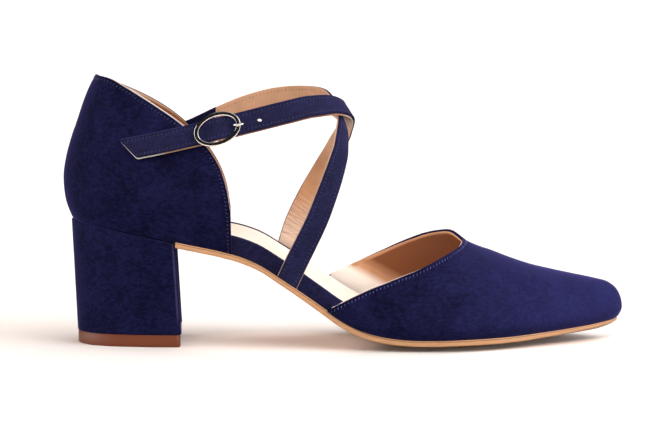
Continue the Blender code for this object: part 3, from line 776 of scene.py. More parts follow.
def crossing():
    """How far along each strap they cross."""
    places = [np.linspace(0, line.length, 800) for line in (BUCKLE_LINE, INSTEP_LINE)]
    apart = BUCKLE_LINE.middle(places[0])[:, None] - INSTEP_LINE.middle(places[1])[None]
    i, j = np.unravel_index(np.argmin((apart**2).sum(-1)), apart.shape[:2])
    return places[0][i], places[1][j]


CROSSING = crossing()
OVER_LIFT = 1.2
UNDER_LIFT = -1.2
CROSSING_FLAT = 10.0
CROSSING_FADE = 14.0


def strap_lift(line, at):
    """How far a strap leaves its middle line, over the bar and where the straps cross."""
    over = line is BUCKLE_LINE
    place = CROSSING[0] if over else CROSSING[1]
    share = np.clip((np.abs(at - place) - CROSSING_FLAT) / CROSSING_FADE, 0, 1)
    lift = (OVER_LIFT if over else UNDER_LIFT) * (1 + np.cos(share * math.pi)) / 2
    if over:
        share = np.clip(np.abs(at - BUCKLE_AT) / STRAP_RISE_HALF_LENGTH, 0, 1)
        lift = lift + STRAP_RISE_AT_BAR * np.cos(share * math.pi / 2) ** 2
    return lift


def on_strap(line, at, across_mm, out_mm):
    """Points on a strap from places along it, across it and out of its middle layer."""
    at = np.asarray(at, float)
    middle, _, across, out = line.frame(at)
    for place, slope in strap_ends(line):
        share = np.clip(1 - np.abs(at - place) / STRAP_END_SPREAD, 0, 1)[..., None]
        level = slope / np.dot(slope, line.frame(np.array([place]))[2][0])
        across = across * (1 - share) + level * share
    lift = strap_lift(line, at) + out_mm
    return middle + across * np.asarray(across_mm)[..., None] + out * lift[..., None], out


def to_scene(points):
    """Points of the shoe's frame in metres, round the middle of its box."""
    return (np.asarray(points, float) - (*BOX_MIDDLE, 0.0)) * MM


def weld(grids):
    """One surface from grids of points that share edges: its points and its faces."""
    points, faces, count = [], [], 0
    for grid, flip in grids:
        rows, columns = grid.shape[:2]
        index = count + np.arange(rows * columns).reshape(rows, columns)
        quads = np.stack((index[:-1, :-1], index[1:, :-1], index[1:, 1:], index[:-1, 1:]), -1)
        quads = quads.reshape(-1, 4)
        faces.append(quads[:, ::-1] if flip else quads)
        points.append(grid.reshape(-1, 3))
        count += rows * columns
    points = np.concatenate(points)
    _, first, owner = np.unique(np.round(points, 3), axis=0, return_index=True, return_inverse=True)
    faces = owner.reshape(-1)[np.concatenate(faces)]
    kept = [tuple(dict.fromkeys(face)) for face in faces.tolist()]
    # Where a rim folds back on itself, its two walls lie on each other and neither is kept
    times = Counter(frozenset(face) for face in kept)
    return points[first], [face for face in kept if len(face) > 2 and times[frozenset(face)] == 1]


def mesh_of(name, points, faces, edges=()):
    mesh = bpy.data.meshes.new(name)
    mesh.from_pydata(to_scene(points).tolist(), edges, faces)
    mesh.update()
    return mesh


def normals_of(points, faces):
    """The way out at each point of an open surface."""
    mesh = mesh_of("normals", points, faces)
    found = np.array([tuple(n.vector) for n in mesh.vertex_normals])
    bpy.data.meshes.remove(mesh)
    return found


def distance_to(points, line):
    """Distance of each point from a line of points."""
    best = np.full(len(points), np.inf)
    for a, b in zip(line[:-1], line[1:]):
        run = b - a
        share = np.clip((points - a) @ run / max(run @ run, 1e-12), 0, 1)
        best = np.minimum(best, np.linalg.norm(points - a - share[:, None] * run, axis=1))
    return best


def bump(distance, at, half_width):
    return np.exp(-(((distance - at) / half_width) ** 2))


def face_outwards(mesh):
    builder = bmesh.new()
    builder.from_mesh(mesh)
    bmesh.ops.recalc_face_normals(builder, faces=builder.faces)
    builder.to_mesh(mesh)
    builder.free()


def smooth(mesh):
    mesh.shade_smooth()
    mesh.set_sharp_from_angle(angle=SHARP_FROM)


def add_object(name, data):
    made = bpy.data.objects.new(name, data)
    bpy.context.scene.collection.objects.link(made)
    return made


def add_piece(name, surface, finish, slot="", stands_for="", outwards=True):
    """A finished piece that rides on the shoe's one body."""
    mesh = mesh_of(name, *surface)
    if outwards:
        face_outwards(mesh)
    mesh.materials.append(material(finish))
    smooth(mesh)
    made = add_object(name, mesh)
    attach(made, "root")
    if stands_for:
        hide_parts(stands_for)
    return made


def paint(made, tone):
    """Keeps a piece's tone for its material, as one value or one for each of its points."""
    mesh = made.data
    places = np.empty(len(mesh.vertices) * 3)
    mesh.vertices.foreach_get("co", places)
    points = places.reshape(-1, 3) / MM + (*BOX_MIDDLE, 0.0)
    values = tone(points) if callable(tone) else np.full(len(points), tone)
    held = mesh.attributes.new("tone", "FLOAT", "POINT")
    held.data.foreach_set("value", np.asarray(values, np.float32))


def modify(made, kind, **settings):
    """Adds a modifier with its settings."""
    step = made.modifiers.new(kind.lower(), kind)
    for key, value in settings.items():
        setattr(step, key, value)
    return step


def settle(made):
    """Turns what an object's modifiers give into its plain mesh."""
    bpy.context.view_layer.update()
    graph = bpy.context.evaluated_depsgraph_get()
    mesh = bpy.data.meshes.new_from_object(made.evaluated_get(graph))
    made.modifiers.clear()
    old = made.data
    made.data = mesh
    bpy.data.meshes.remove(old)
    mesh.name = made.name
    return made


def shell(name, surface, finish, slot="", stands_for=""):
    """A closed wall of even thickness inside a surface, with rounded cut edges."""
    made = add_piece(name, surface, finish, slot, stands_for, outwards=False)
    modify(made, "SOLIDIFY", thickness=getattr(bpy.context.scene.shoe_sizes, finish), offset=-1)
    turned = {"limit_method": "ANGLE", "angle_limit": BEVEL_FROM}
    modify(made, "BEVEL", width=CUT_ROUND[finish] * MM, segments=3, **turned)
    return settle(made)


def combine(made, surface, operation):
    """Joins a closed solid to a piece, or cuts it out of the piece."""
    mesh = mesh_of("tool", *surface)
    face_outwards(mesh)
    tool = add_object("tool", mesh)
    modify(made, "BOOLEAN", operation=operation, solver="EXACT", object=tool)
    settle(made)
    bpy.data.objects.remove(tool)


def closed_between(top, bottom):
    """Points and faces of a closed solid between two grids with the same rows and columns."""
    rims = [
        np.concatenate((g[0, :-1], g[:-1, -1], g[-1, :0:-1], g[:0:-1, 0], g[:1, 0]))
        for g in (top, bottom)
    ]
    return weld([(top, False), (bottom, True), (np.stack(rims), False)])


def slab(x, y, top, bottom):
    """As closed_between, for two heights over a plan."""
    return closed_between(np.stack((x, y, top), -1), np.stack((x, y, bottom), -1))


def tube(rings):
    """Points and faces of a wall through closed rings of points."""
    rings = np.asarray(rings, float)
    return weld([(np.concatenate((rings, rings[:, :1]), axis=1), False)])


def closed_loft(rings):
    """As tube, capped at both ends."""
    points, faces = tube(rings)
    known = {tuple(key): k for k, key in enumerate(np.round(points, 3))}
    for ring in (rings[0][::-1], rings[-1]):
        faces.append(tuple(known[tuple(key)] for key in np.round(ring, 3)))
    return points, faces


def sweep(path, section, side, out, scale=None):
    """Rings of a section along a path, for a wire."""
    scale = np.ones(len(path)) if scale is None else scale
    sized = section[None] * scale[:, None, None]
    return path[:, None] + side[:, None] * sized[..., :1] + out[:, None] * sized[..., 1:]


def oval(count, wide, high):
    turns = np.linspace(0, 2 * math.pi, count, endpoint=False)
    return np.stack((wide * np.cos(turns), high * np.sin(turns)), -1)


def rod(path, wide, high, count, up, scale=None):
    """Points and faces of a closed rod along a path, with half its width and height, and its way up."""
    along = unit(np.gradient(path, axis=0))
    side = unit(np.cross(along, up))
    return closed_loft(sweep(path, oval(count, wide, high), side, np.cross(along, side), scale))


def loop_way(loop):
    """The way along a loop whose last point is its first."""
    along = unit(np.gradient(loop, axis=0))
    along[0] = along[-1] = unit(loop[1] - loop[-2])
    return along


def feed(tree, node, inputs):
    """Gives each input of a node a value, or another node's output to link from."""
    for key, value in inputs.items():
        socket = node.inputs[key]
        if isinstance(value, bpy.types.NodeSocket):
            tree.links.new(value, socket)
        else:
            socket.default_value = (*value, 1) if socket.type == "RGBA" else value


def add_node(tree, kind, inputs=None, settings=None, output=0):
    """Adds a node with its settings and links, and gives one of its outputs."""
    made = tree.nodes.new(kind if "Node" in kind else "ShaderNode" + kind)
    for key, value in (settings or {}).items():
        setattr(made, key, value)
    feed(tree, made, inputs or {})
    return made.outputs[output] if made.outputs else None


SMOOTH = {"interpolation_type": "SMOOTHSTEP"}
DOT = {"operation": "DOT_PRODUCT"}
# Settings and output of a node that mixes two colours
OF_COLOURS = ({"data_type": "RGBA"}, 2)
# The node that reads a piece's own tone
TONE = ("Attribute", {}, {"attribute_name": "tone"}, "Fac")


def new_material(name, **constants):
    """A Principled material with its constants, its tree, its shader and its object coordinates."""
    made = bpy.data.materials.new(name)
    made.use_nodes = True
    tree = made.node_tree
    shader = tree.nodes["Principled BSDF"]
    feed(tree, shader, {key.replace("_", " "): value for key, value in constants.items()})
    return made, tree, shader, add_node(tree, "TexCoord", output="Object")


def per_mm(size):
    """Scale of a noise texture whose features are this many millimetres."""
    return 1 / (size * MM)


def dimmed(colour, share):
    return tuple(share * c for c in colour)


def make_suede(colours):
    """Split leather buffed to a short nap. The nap is matt and dark when seen straight on, pale and
    violet where it is seen along the surface, with soft clouds where a hand has stroked it. Painted
    light makes it lighter towards the toe, which the light falls on, and darker towards the heel."""
    made, tree, shader, place = new_material(
        "navy napped suede",
        Roughness=0.95,
        Specular_IOR_Level=0.08,
        Sheen_Weight=0.5,
        Sheen_Roughness=0.35,
        Sheen_Tint=linear("7f78d0"),
    )
    strokes = {"Vector": place, "Scale": per_mm(15), "Detail": 3.0, "Roughness": 0.6, "Distortion": 0.5}
    clouds = add_node(tree, "TexNoise", strokes)
    # Real nap is 0.2 mm fine: drawn at 1.3 mm so that it shows
    drawn = add_node(tree, "Mapping", {"Vector": place, "Scale": (0.55, 1.0, 1.0)})
    fibres = {"Vector": drawn, "Scale": per_mm(1.3), "Detail": 3.0, "Roughness": 0.75}
    nap = add_node(tree, "TexNoise", fibres)
    blend = add_node(tree, "Mix", {0: 0.6, 2: clouds, 3: nap})
    ends = {"From Min": 0.36, "From Max": 0.64, "To Min": -0.28, "To Max": 0.28}
    spread = add_node(tree, "MapRange", {"Value": blend, **ends})
    # Painted light: the nap turns lighter along the shoe towards the toe, where the light falls, and darker
    # towards the heel
    length = add_node(tree, "SeparateXYZ", {"Vector": place}, output="X")
    ends = {"From Min": 12 * MM, "From Max": 128 * MM, "To Min": 0.18, "To Max": 0.88}
    lit = add_node(tree, "MapRange", {"Value": length, **ends}, SMOOTH)
    share = add_node(tree, "Math", {0: lit, 1: spread}, {"operation": "ADD", "use_clamp": True})
    tint = add_node(tree, "Mix", {0: share, 6: colours.suede_dark, 7: colours.suede_light}, *OF_COLOURS)
    # A piece's tone turns it to the rubbed colour: real wear on the straps and footbed, and a painted
    # highlight on the heel
    tint = add_node(tree, "Mix", {0: add_node(tree, *TONE), 6: tint, 7: colours.suede_worn_and_lit}, *OF_COLOURS)
    raised = add_node(tree, "Bump", {"Strength": 0.4, "Distance": 0.25 * MM, "Height": nap})
    feed(tree, shader, {"Base Color": tint, "Normal": raised})
    return made


def make_leather(name, colour, deep_share, grain_mm, tones=()):
    """Smooth-side leather, tanned and lightly finished: a satin skin with pores and faint clouding.

    With tones, a piece's own tone turns it pale, for cut edges and painted light, and deep, for painted
    shade.
    """
    made, tree, shader, place = new_material(
        name, Roughness=0.5, Specular_IOR_Level=0.35, Coat_Weight=0.1, Coat_Roughness=0.35
    )
    soft = {"Vector": place, "Scale": per_mm(7), "Detail": 4.0, "Roughness": 0.6}
    clouds = add_node(tree, "TexNoise", soft)
    grain = {"Vector": place, "Scale": per_mm(grain_mm)}
    pores = add_node(tree, "TexVoronoi", grain, {"feature": "DISTANCE_TO_EDGE"}, "Distance")
    spread = add_node(tree, "MapRange", {"Value": clouds, "From Min": 0.3, "From Max": 0.7})
    tint = add_node(tree, "Mix", {0: spread, 6: dimmed(colour, deep_share), 7: colour}, *OF_COLOURS)
    for limit, other in zip((1.0, -1.0), tones):
        share = add_node(tree, "MapRange", {"Value": add_node(tree, *TONE), "From Max": limit})
        tint = add_node(tree, "Mix", {0: share, 6: tint, 7: other}, *OF_COLOURS)
    raised = add_node(tree, "Bump", {"Strength": 0.25, "Distance": 0.12 * MM, "Height": pores})
    feed(tree, shader, {"Base Color": tint, "Normal": raised})
    return made


def make_sole_leather(colours):
    """Pressed sole leather with a sanded and waxed edge: a satin tan with faint layers along it and
    a dark line along its top."""
    made, tree, shader, place = new_material(
        "tan sole leather with waxed edge", Roughness=0.48, Specular_IOR_Level=0.45
    )
    stretched = add_node(tree, "Mapping", {"Vector": place, "Scale": (0.12, 0.12, 1.0)})
    layers = add_node(tree, "TexNoise", {"Vector": stretched, "Scale": per_mm(0.9), "Detail": 3.0})
    spread = add_node(tree, "MapRange", {"Value": layers, "From Min": 0.3, "From Max": 0.7})
    tint = add_node(tree, "Mix", {0: spread, 6: dimmed(colours.sole, 0.8), 7: colours.sole}, *OF_COLOURS)
    dark_top_line = add_node(tree, "MapRange", {"Value": add_node(tree, *TONE), "From Min": 0.68, "To Max": 0.9})
    tint = add_node(tree, "Mix", {0: dark_top_line, 6: tint, 7: dimmed(colours.sole, 0.16)}, *OF_COLOURS)
    raised = add_node(tree, "Bump", {"Strength": 0.2, "Distance": 0.1 * MM, "Height": layers})
    feed(tree, shader, {"Base Color": tint, "Normal": raised})
    return made


def make_rubber(colours):
    """Moulded heel rubber with a trimmed side: an even brown, half matt, with fine trimming marks."""
    made, tree, shader, place = new_material(
        "brown moulded heel rubber", Roughness=0.5, Specular_IOR_Level=0.4
    )
    stretched = add_node(tree, "Mapping", {"Vector": place, "Scale": (0.1, 0.1, 1.0)})
    marks = add_node(tree, "TexNoise", {"Vector": stretched, "Scale": per_mm(0.7), "Detail": 2.0})
    tint = add_node(tree, "Mix", {0: marks, 6: dimmed(colours.tap, 0.8), 7: colours.tap}, *OF_COLOURS)
    raised = add_node(tree, "Bump", {"Strength": 0.15, "Distance": 0.1 * MM, "Height": marks})
    feed(tree, shader, {"Base Color": tint, "Normal": raised})
    return made


def make_thread(name, colour):
    """Bonded polyester thread: a small twisted cord with a soft shine."""
    made, tree, shader, place = new_material(name, Roughness=0.55, Specular_IOR_Level=0.4, Sheen_Weight=0.3)
    twist = add_node(tree, "TexNoise", {"Vector": place, "Scale": per_mm(2), "Detail": 1.0})
    spread = add_node(tree, "MapRange", {"Value": twist, "From Min": 0.4, "From Max": 0.62})
    tint = add_node(tree, "Mix", {0: spread, 6: dimmed(colour, 0.3), 7: colour}, *OF_COLOURS)
    feed(tree, shader, {"Base Color": tint})
    return made


def make_plate(colours):
    """Steel wire, polished and nickel plated: bright mirror lines with faint handling marks."""
    made, tree, shader, place = new_material("nickel-plated polished wire", Metallic=1.0)
    marks = add_node(tree, "TexNoise", {"Vector": place, "Scale": per_mm(1.5), "Detail": 3.0})
    worn = add_node(tree, "MapRange", {"Value": marks, "To Min": 0.06, "To Max": 0.2})
    feed(tree, shader, {"Base Color": colours.wire, "Roughness": worn})
    return made


MAKERS = {
    "suede": make_suede,
    "lining": lambda c: make_leather(
        "tan lining leather", c.lining, 0.8, 0.9, (c.lining_cut_and_lit, c.lining_shaded)
    ),
    "sock": lambda c: make_leather("cream sock leather", c.sock, 0.94, 0.8),
    "sole": make_sole_leather,
    "tap": make_rubber,
    "thread": lambda c: make_thread("navy bonded sewing thread", c.thread),
    "vamp_thread": lambda c: make_thread("blue bonded sewing thread", c.vamp_thread),
    "lining_thread": lambda c: make_thread("tan bonded sewing thread", c.lining_thread),
    "plate": make_plate,
}
MATERIALS = {}


def material(key):
    """The named finish, made from the scene's colours when it is first asked for."""
    if key not in MATERIALS:
        MATERIALS[key] = MAKERS[key](bpy.context.scene.shoe_colours)
    return MATERIALS[key]


# Surfaces and cut edges that the stitch rows lie on, kept as they are made
SEWN = {}


def folded_edge(distance):
    """Relief in millimetres of a turned edge and the trough that its stitches pull in."""
    inset = bpy.context.scene.shoe_sizes.stitch_inset / MM
    return sum(rise * bump(distance, share * inset, wide) for rise, share, wide in EDGE_RELIEF)


class SHOE_OT_vamp(bpy.types.Operator):
    """Makes the closed toe of suede and its lining"""

    bl_idname = "shoe.vamp"
    bl_label = "Vamp"

    def execute(self, context):
        sizes = context.scene.shoe_sizes
        lateral, medial = vamp_grid(LATERAL), vamp_grid(MEDIAL)
        points, faces = weld([(lateral, False), (medial, True)])
        cut = np.concatenate((lateral[:VAMP_BACK_ROWS, -1], medial[VAMP_BACK_ROWS - 2 :: -1, -1]))
        relief = folded_edge(distance_to(points, cut))
        suede = points + normals_of(points, faces) * relief[:, None]
        SEWN["vamp"] = (suede, faces, cut)
        shell("vamp_suede", (suede, faces), "suede", "suede", "vamp")

        sides = [vamp_grid(side, proud, *VAMP_LINING_BACK) for side, proud in VAMP_LINING]
        points, faces = weld([(sides[0], False), (sides[1], True)])
        place = points[:, 0] + VAMP_FOLD_SLANT * (points[:, 2] - VAMP_FOLD_LEVEL)
        fold = sum(depth * bump(place, at, half_width) for at, depth, half_width in VAMP_WRINKLES)
        fold = fold * np.clip(points[:, 1] / VAMP_FOLD_FADE, 0, 1)
        inner = points - normals_of(points, faces) * (sizes.suede / MM + SEAM + fold)[:, None]
        made = shell("vamp_lining", (inner, faces), "lining")

        # Painted light and shade: the lining is pale at the back where light falls in and deep in the
        # shaded toe, with a pale cut edge on the near side
        def tone(points):
            x, y, z = points.T
            start, level, slant = VAMP_TONE_LINE
            along = x - start + slant * (z - level)
            inside = np.interp(along, *VAMP_TONE)
            edge = np.interp(distance_to(points, cut), *VAMP_EDGE_SHARE)
            near, far = VAMP_EDGE_TONES
            at_edge = np.where(y < 0, near, np.where(along > 0, far, inside))
            return inside + edge * (at_edge - inside)

        paint(made, tone)
        return {"FINISHED"}


class SHOE_OT_counter(bpy.types.Operator):
    """Makes the heel counter of suede and its lining"""

    bl_idname = "shoe.counter"
    bl_label = "Counter"

    def execute(self, context):
        sizes = context.scene.shoe_sizes
        grid = counter_grid()
        points, faces = weld([(grid, True)])
        front = np.concatenate((grid[0, :-1], grid[:, -1], grid[-1, -2::-1]))
        distance = distance_to(points, front)
        from_sides = np.minimum(distance_to(points, grid[0]), distance_to(points, grid[-1]))
        stiffener = np.interp(from_sides, STIFFENER_EDGE, (0, 1))
        stiffener = stiffener**2 * (3 - 2 * stiffener)
        relief = folded_edge(distance) + STIFFENER_THICK * (stiffener - 1) * np.clip(distance / 3, 0, 1)
        suede = points + normals_of(points, faces) * relief[:, None]
        SEWN["counter"] = (suede, faces, front)
        shell("counter_suede", (suede, faces), "suede", "suede", "counter")

        grid = counter_grid(*COUNTER_LINING)
        points, faces = weld([(grid, True)])
        out = normals_of(points, faces)
        inner = points - out * (sizes.suede / MM + SEAM)
        shown = inner - out * sizes.lining / MM
        cut = [np.argmin(((points - place) ** 2).sum(1)) for place in grid[:, -1]]
        SEWN["counter_lining"] = (shown, [face[::-1] for face in faces], shown[cut])
        made = shell("counter_lining", (inner, faces), "lining")

        # Pale cut edge on the near lining; on the far lining a paler top and a band of painted shade below
        # it
        def tone(points):
            x, y, z = points.T
            below = by_station(COUNTER_TOPLINE, 1, x) - z
            near = np.interp(below, *COUNTER_NEAR_TONE) * np.interp(x, *COUNTER_NEAR_FADE)
            below = by_station(COUNTER_TOPLINE, 2, x) - z
            far = np.interp(below, *COUNTER_FAR_TONE) - bump(below, *COUNTER_FAR_SHADE)
            return np.where(y < 0, near, far * np.interp(y, *COUNTER_FAR_FADE))

        paint(made, tone)
        return {"FINISHED"}


EDGE_STEPS = (0.0, 0.06, 0.2, 0.45, 0.75)
STEP_ACROSS = 0.3
STRAP_DOME = 0.08


def crowded_ends(first, last, rounding, step):
    """Places from first to last, crowded at both ends for their rounding."""
    near = rounding * np.array(EDGE_STEPS)
    count = max(int((last - first) / step), 4)
    middle = np.linspace(first + rounding, last - rounding, count)
    return np.concatenate((first + near, middle, last - near[::-1]))


def strip(name, line, span, sides, layer, finish, step=0.75, corner=0.0, slant=0.0, wrinkles=()):
    """A strip of a strap between two places along it, two across it and two out of its middle.

    A turned edge with a stitch trough runs round a strip of suede, and its first end can have
    round corners or a slanted cut. Wrinkles are troughs in its inner face.
    """
    low, high, rounding = layer
    at = crowded_ends(*span, rounding, step)[:, None]
    across = crowded_ends(*sides, rounding, STEP_ACROSS)[None, :]
    depth = np.minimum(
        np.minimum(at - span[0], span[1] - at), np.minimum(across - sides[0], sides[1] - across)
    )
    middle, half = (sides[0] + sides[1]) / 2, (sides[1] - sides[0]) / 2
    top = high - edge_drop(depth, rounding)
    if finish[0] == "suede":
        top = top + STRAP_DOME * (1 - ((across - middle) / half) ** 2) + folded_edge(depth)
    bottom = low + edge_drop(depth, rounding / 2)
    for above, lean, deep, half_width in wrinkles:
        bottom = bottom + deep * bump(at, line.length - above + lean * across, half_width)
    across = middle + (across - middle) * (1 - edge_drop(at - span[0], corner) / half)
    lead = np.clip(1 - (at - span[0]) / STRAP_END_SPREAD, 0, 1)
    at, across = np.broadcast_arrays(at + slant * (across - middle) * lead, across)
    faces = [on_strap(line, at, across, heights)[0] for heights in (top, bottom)]
    return add_piece(name, closed_between(*faces), *finish)


def buckle_axes():
    middle, along, across, out = BUCKLE_LINE.frame(np.array([BUCKLE_AT]))
    return middle[0], along[0], across[0], out[0]


def at_buckle(along_mm, across_mm, out_mm):
    middle, *ways = buckle_axes()
    return middle + np.stack(np.broadcast_arrays(along_mm, across_mm, out_mm), -1) @ np.stack(ways)


def prong_path(count):
    """The prong rises from the bar through the strap and bends over the ring's front end."""
    over_ring = RING_LIFT + WIRE_RADIUS + GAP + PRONG_RADIUS
    rows = np.array(PRONG)
    reach = RING_AHEAD + BUCKLE_HALF_LENGTH + PRONG_OVERHANG - PRONG_LOOP_RADIUS
    share = np.linspace(0, 1, count)
    rise = hermite(rows[:, 0], rows[:, 1], share)
    aside = PRONG_DROP * np.clip((share - 0.4) / 0.6, 0, 1)
    return at_buckle(PRONG_LOOP_RADIUS + reach * share, aside, BAR_LIFT + (over_ring - BAR_LIFT) * rise)


class SHOE_OT_straps(bpy.types.Operator):
    """Makes both straps of suede with their linings, and punches the holes"""

    bl_idname = "shoe.straps"
    bl_label = "Straps"

    def execute(self, context):
        half = context.scene.shoe_sizes.strap / MM / 2
        edge = half - INSTEP_SUEDE_INSET
        buckle, instep = BUCKLE_LINE, INSTEP_LINE
        facing_at = instep.at_station(STRAP_FACING_FROM, last=True)
        suede, lining = ("suede", "suede", "cross_straps"), ("lining",)
        span, sides = (TAIL_SETBACK, buckle.length), (-half, half - BUCKLE_SUEDE_INSET)
        cut = {"corner": TAIL_CORNER, "slant": TAIL_EXTRA_SLANT}
        first = strip("buckle_strap_suede", buckle, span, sides, SUEDE_LAYER, suede, **cut)
        span, sides = (0.0, buckle.length), (BUCKLE_LINING_EDGES[0] - half, BUCKLE_LINING_EDGES[1] + half)
        folds = {"step": WRINKLE_STEP, "corner": TAIL_CORNER, "wrinkles": STRAP_WRINKLES}
        second = strip("buckle_strap_lining", buckle, span, sides, LINING_LAYER, lining, **folds)
        span = (0.0, instep.length)
        third = strip("instep_strap_suede", instep, span, (-edge, edge), SUEDE_LAYER, suede)
        span = (0.0, facing_at + FACING_OVERLAP)
        fourth = strip("instep_strap_lining", instep, span, (-half, half), LINING_LAYER, lining)
        span, wide = (facing_at, instep.length - TAIL_SETBACK), half + FACING_PROUD
        strip("strap_end_facing", instep, span, (-wide, wide), FACING_LAYER, suede[:2], slant=FACING_SLANT)

        at = np.array([BUCKLE_AT + FREE_HOLE_FROM_BUCKLE])
        middle, out = on_strap(buckle, at, np.array([HOLE_DROP]), np.zeros(1))
        through = middle + np.array(HOLE_REACH)[:, None] * out
        for made in (first, second):
            for path, wide, high in (
                (through, HOLE_RADIUS, HOLE_RADIUS * HOLE_FLATNESS),
                (prong_path(24)[:18], PRONG_PASSAGE_RADIUS, PRONG_PASSAGE_RADIUS),
            ):
                combine(made, rod(path, wide, high, 28, UP), "DIFFERENCE")

        # Painted light and shade on the buckle strap's lining, by place along the near side and by height
        # on the far side
        def tone(points):
            x, y, z = points.T
            return np.where(y < 0, np.interp(x, *STRAP_NEAR_TONE), np.interp(z, *STRAP_FAR_TONE))

        paint(first, STRAP_WORN)
        paint(second, tone)
        paint(third, STRAP_WORN)
        # The instep strap's lining is a little pale all over, and paler on the near side as painted light
        paint(fourth, lambda points: np.where(points[:, 1] < -4, 0.2, 0.08))
        return {"FINISHED"}


class SHOE_OT_buckle(bpy.types.Operator):
    """Makes the wire buckle and its prong, and finishes the tab that holds it"""

    bl_idname = "shoe.buckle"
    bl_label = "Buckle"

    def execute(self, context):
        _, _, across_way, out_way = buckle_axes()
        turns = np.linspace(0, 2 * math.pi, 145)
        long_way, short_way = BUCKLE_HALF_LENGTH * np.cos(turns), BUCKLE_HALF_WIDTH * np.sin(turns)
        cos, sin = math.cos(math.radians(RING_TURN)), math.sin(math.radians(RING_TURN))
        ring_along = RING_AHEAD + long_way * cos + short_way * sin
        ring = at_buckle(ring_along, RING_DROP + short_way * cos - long_way * sin, RING_LIFT)
        out = np.broadcast_to(out_way, ring.shape)
        rings = sweep(ring, np.array(RING_SECTION), np.cross(loop_way(ring), out), out)
        made = add_piece("buckle_wire", tube(rings), "plate", "metal", "buckle_frame")
        half = np.array(BAR_DIP)
        dip = np.concatenate((half, half[-2::-1] * (-1, 1)))
        fine = hermite(np.linspace(0, 1, len(dip)), dip, np.linspace(0.02, 0.98, 60))
        bar = at_buckle(0.0, fine[:, 0] * BUCKLE_HALF_WIDTH, fine[:, 1])
        combine(made, rod(bar, WIRE_RADIUS, WIRE_RADIUS, 16, WIRE_UP), "UNION")
        smooth(made.data)

        path = prong_path(48)
        tip = np.clip((np.arange(48)[::-1] + 0.4) / 6, 0, 1)
        prong = rod(path, PRONG_RADIUS, PRONG_RADIUS, 16, WIRE_UP, np.sqrt(1 - (1 - tip) ** 2))
        made = add_piece("buckle_prong_wire", prong, "plate", "metal", "buckle_prong")
        wide, high = PRONG_LOOP_RADIUS * oval(40, 1, 1)[np.arange(41) % 40].T
        eye = at_buckle(wide, 0.0, BAR_LIFT + high)
        side = np.broadcast_to(across_way, eye.shape)
        section = oval(20, 2 * PRONG_LOOP_WIRE, PRONG_LOOP_WIRE)
        combine(made, tube(sweep(eye, section, side, np.cross(loop_way(eye), side))), "UNION")
        smooth(made.data)
        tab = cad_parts["buckle_tab"]
        tab.data.materials.clear()
        tab.data.materials.append(material("suede"))
        return {"FINISHED"}


FOOTBED_WORN = 0.06
RIM_DEPTHS = (0.0, 0.05, 0.15, 0.32, 0.55, 0.8, 1.05, 1.3, 1.5, 1.75)
RIM_ROUND = 1.05
RIM_WIDE = 1.5
RIM_END = (97.0, 103.0)
SOCK_RECESS = 0.35
SOCK_DEPTHS = (0.0, 0.05, 0.15, 0.35)
SOCK_ROUND = 0.3
SOCK_RISE = 0.05
SOCK_GLUE = 0.04
OUTSOLE_ROUND = 0.4
OUTSOLE_LIP = 0.3
# How much more the lip stands up at the waist: its height, station and half length
WAIST_LIP = (0.7, 112.0, 20.0)
OUTSOLE_DEPTHS = (0.0, 0.04, 0.12, 0.25, 0.4, 0.6)


class SHOE_OT_footbed(bpy.types.Operator):
    """Makes the covered footbed and the sock that lies in it"""

    bl_idname = "shoe.footbed"
    bl_label = "Footbed"

    def execute(self, context):
        turns = np.linspace(0, math.pi, 150)
        x, y, depth, middle, arch = sole_plan(turns, RIM_DEPTHS, 25, INSOLE_INSET)
        bottom, full = self.levels(x, middle, arch)
        inside = np.clip((depth - RIM_WIDE + 0.25) / 0.25, 0, 1)
        # The rim on the arch side sinks under the sock towards the vamp
        low_rim = 0.8 * (arch > 0.5) * np.interp(x, RIM_END, (0, 1))
        sunk = (SOCK_RECESS + self.low_arch(x, arch)) * inside + low_rim * (1 - inside)
        top = full - edge_drop(depth, RIM_ROUND) - sunk
        paint(add_piece("footbed_cover", slab(x, y, top, bottom), "suede", "suede", "insole"), FOOTBED_WORN)

        x, y, depth, middle, arch = sole_plan(turns, SOCK_DEPTHS, 31, INSOLE_INSET + RIM_WIDE)
        full = self.levels(x, middle, arch)[1] - self.low_arch(x, arch)
        top = full + SOCK_RISE - edge_drop(depth, SOCK_ROUND)
        add_piece("sock", slab(x, y, top, full - SOCK_RECESS + SOCK_GLUE), "sock", "sock")
        return {"FINISHED"}

    def levels(self, x, middle, arch):
        """Heights of the footbed's underside and of its full top."""
        bottom = bed_height(x, middle) + GAP
        return bottom, bottom + by_station(INSOLE, 1, x) + by_station(INSOLE, 2, x) * arch**2

    def low_arch(self, x, arch):
        """How much lower the sock lies beside the arch, where the rim stands up round the foot."""
        return 0.65 * np.clip((arch - 0.55) / 0.4, 0, 1) ** 2 * np.interp(x, RIM_END, (1, 0))


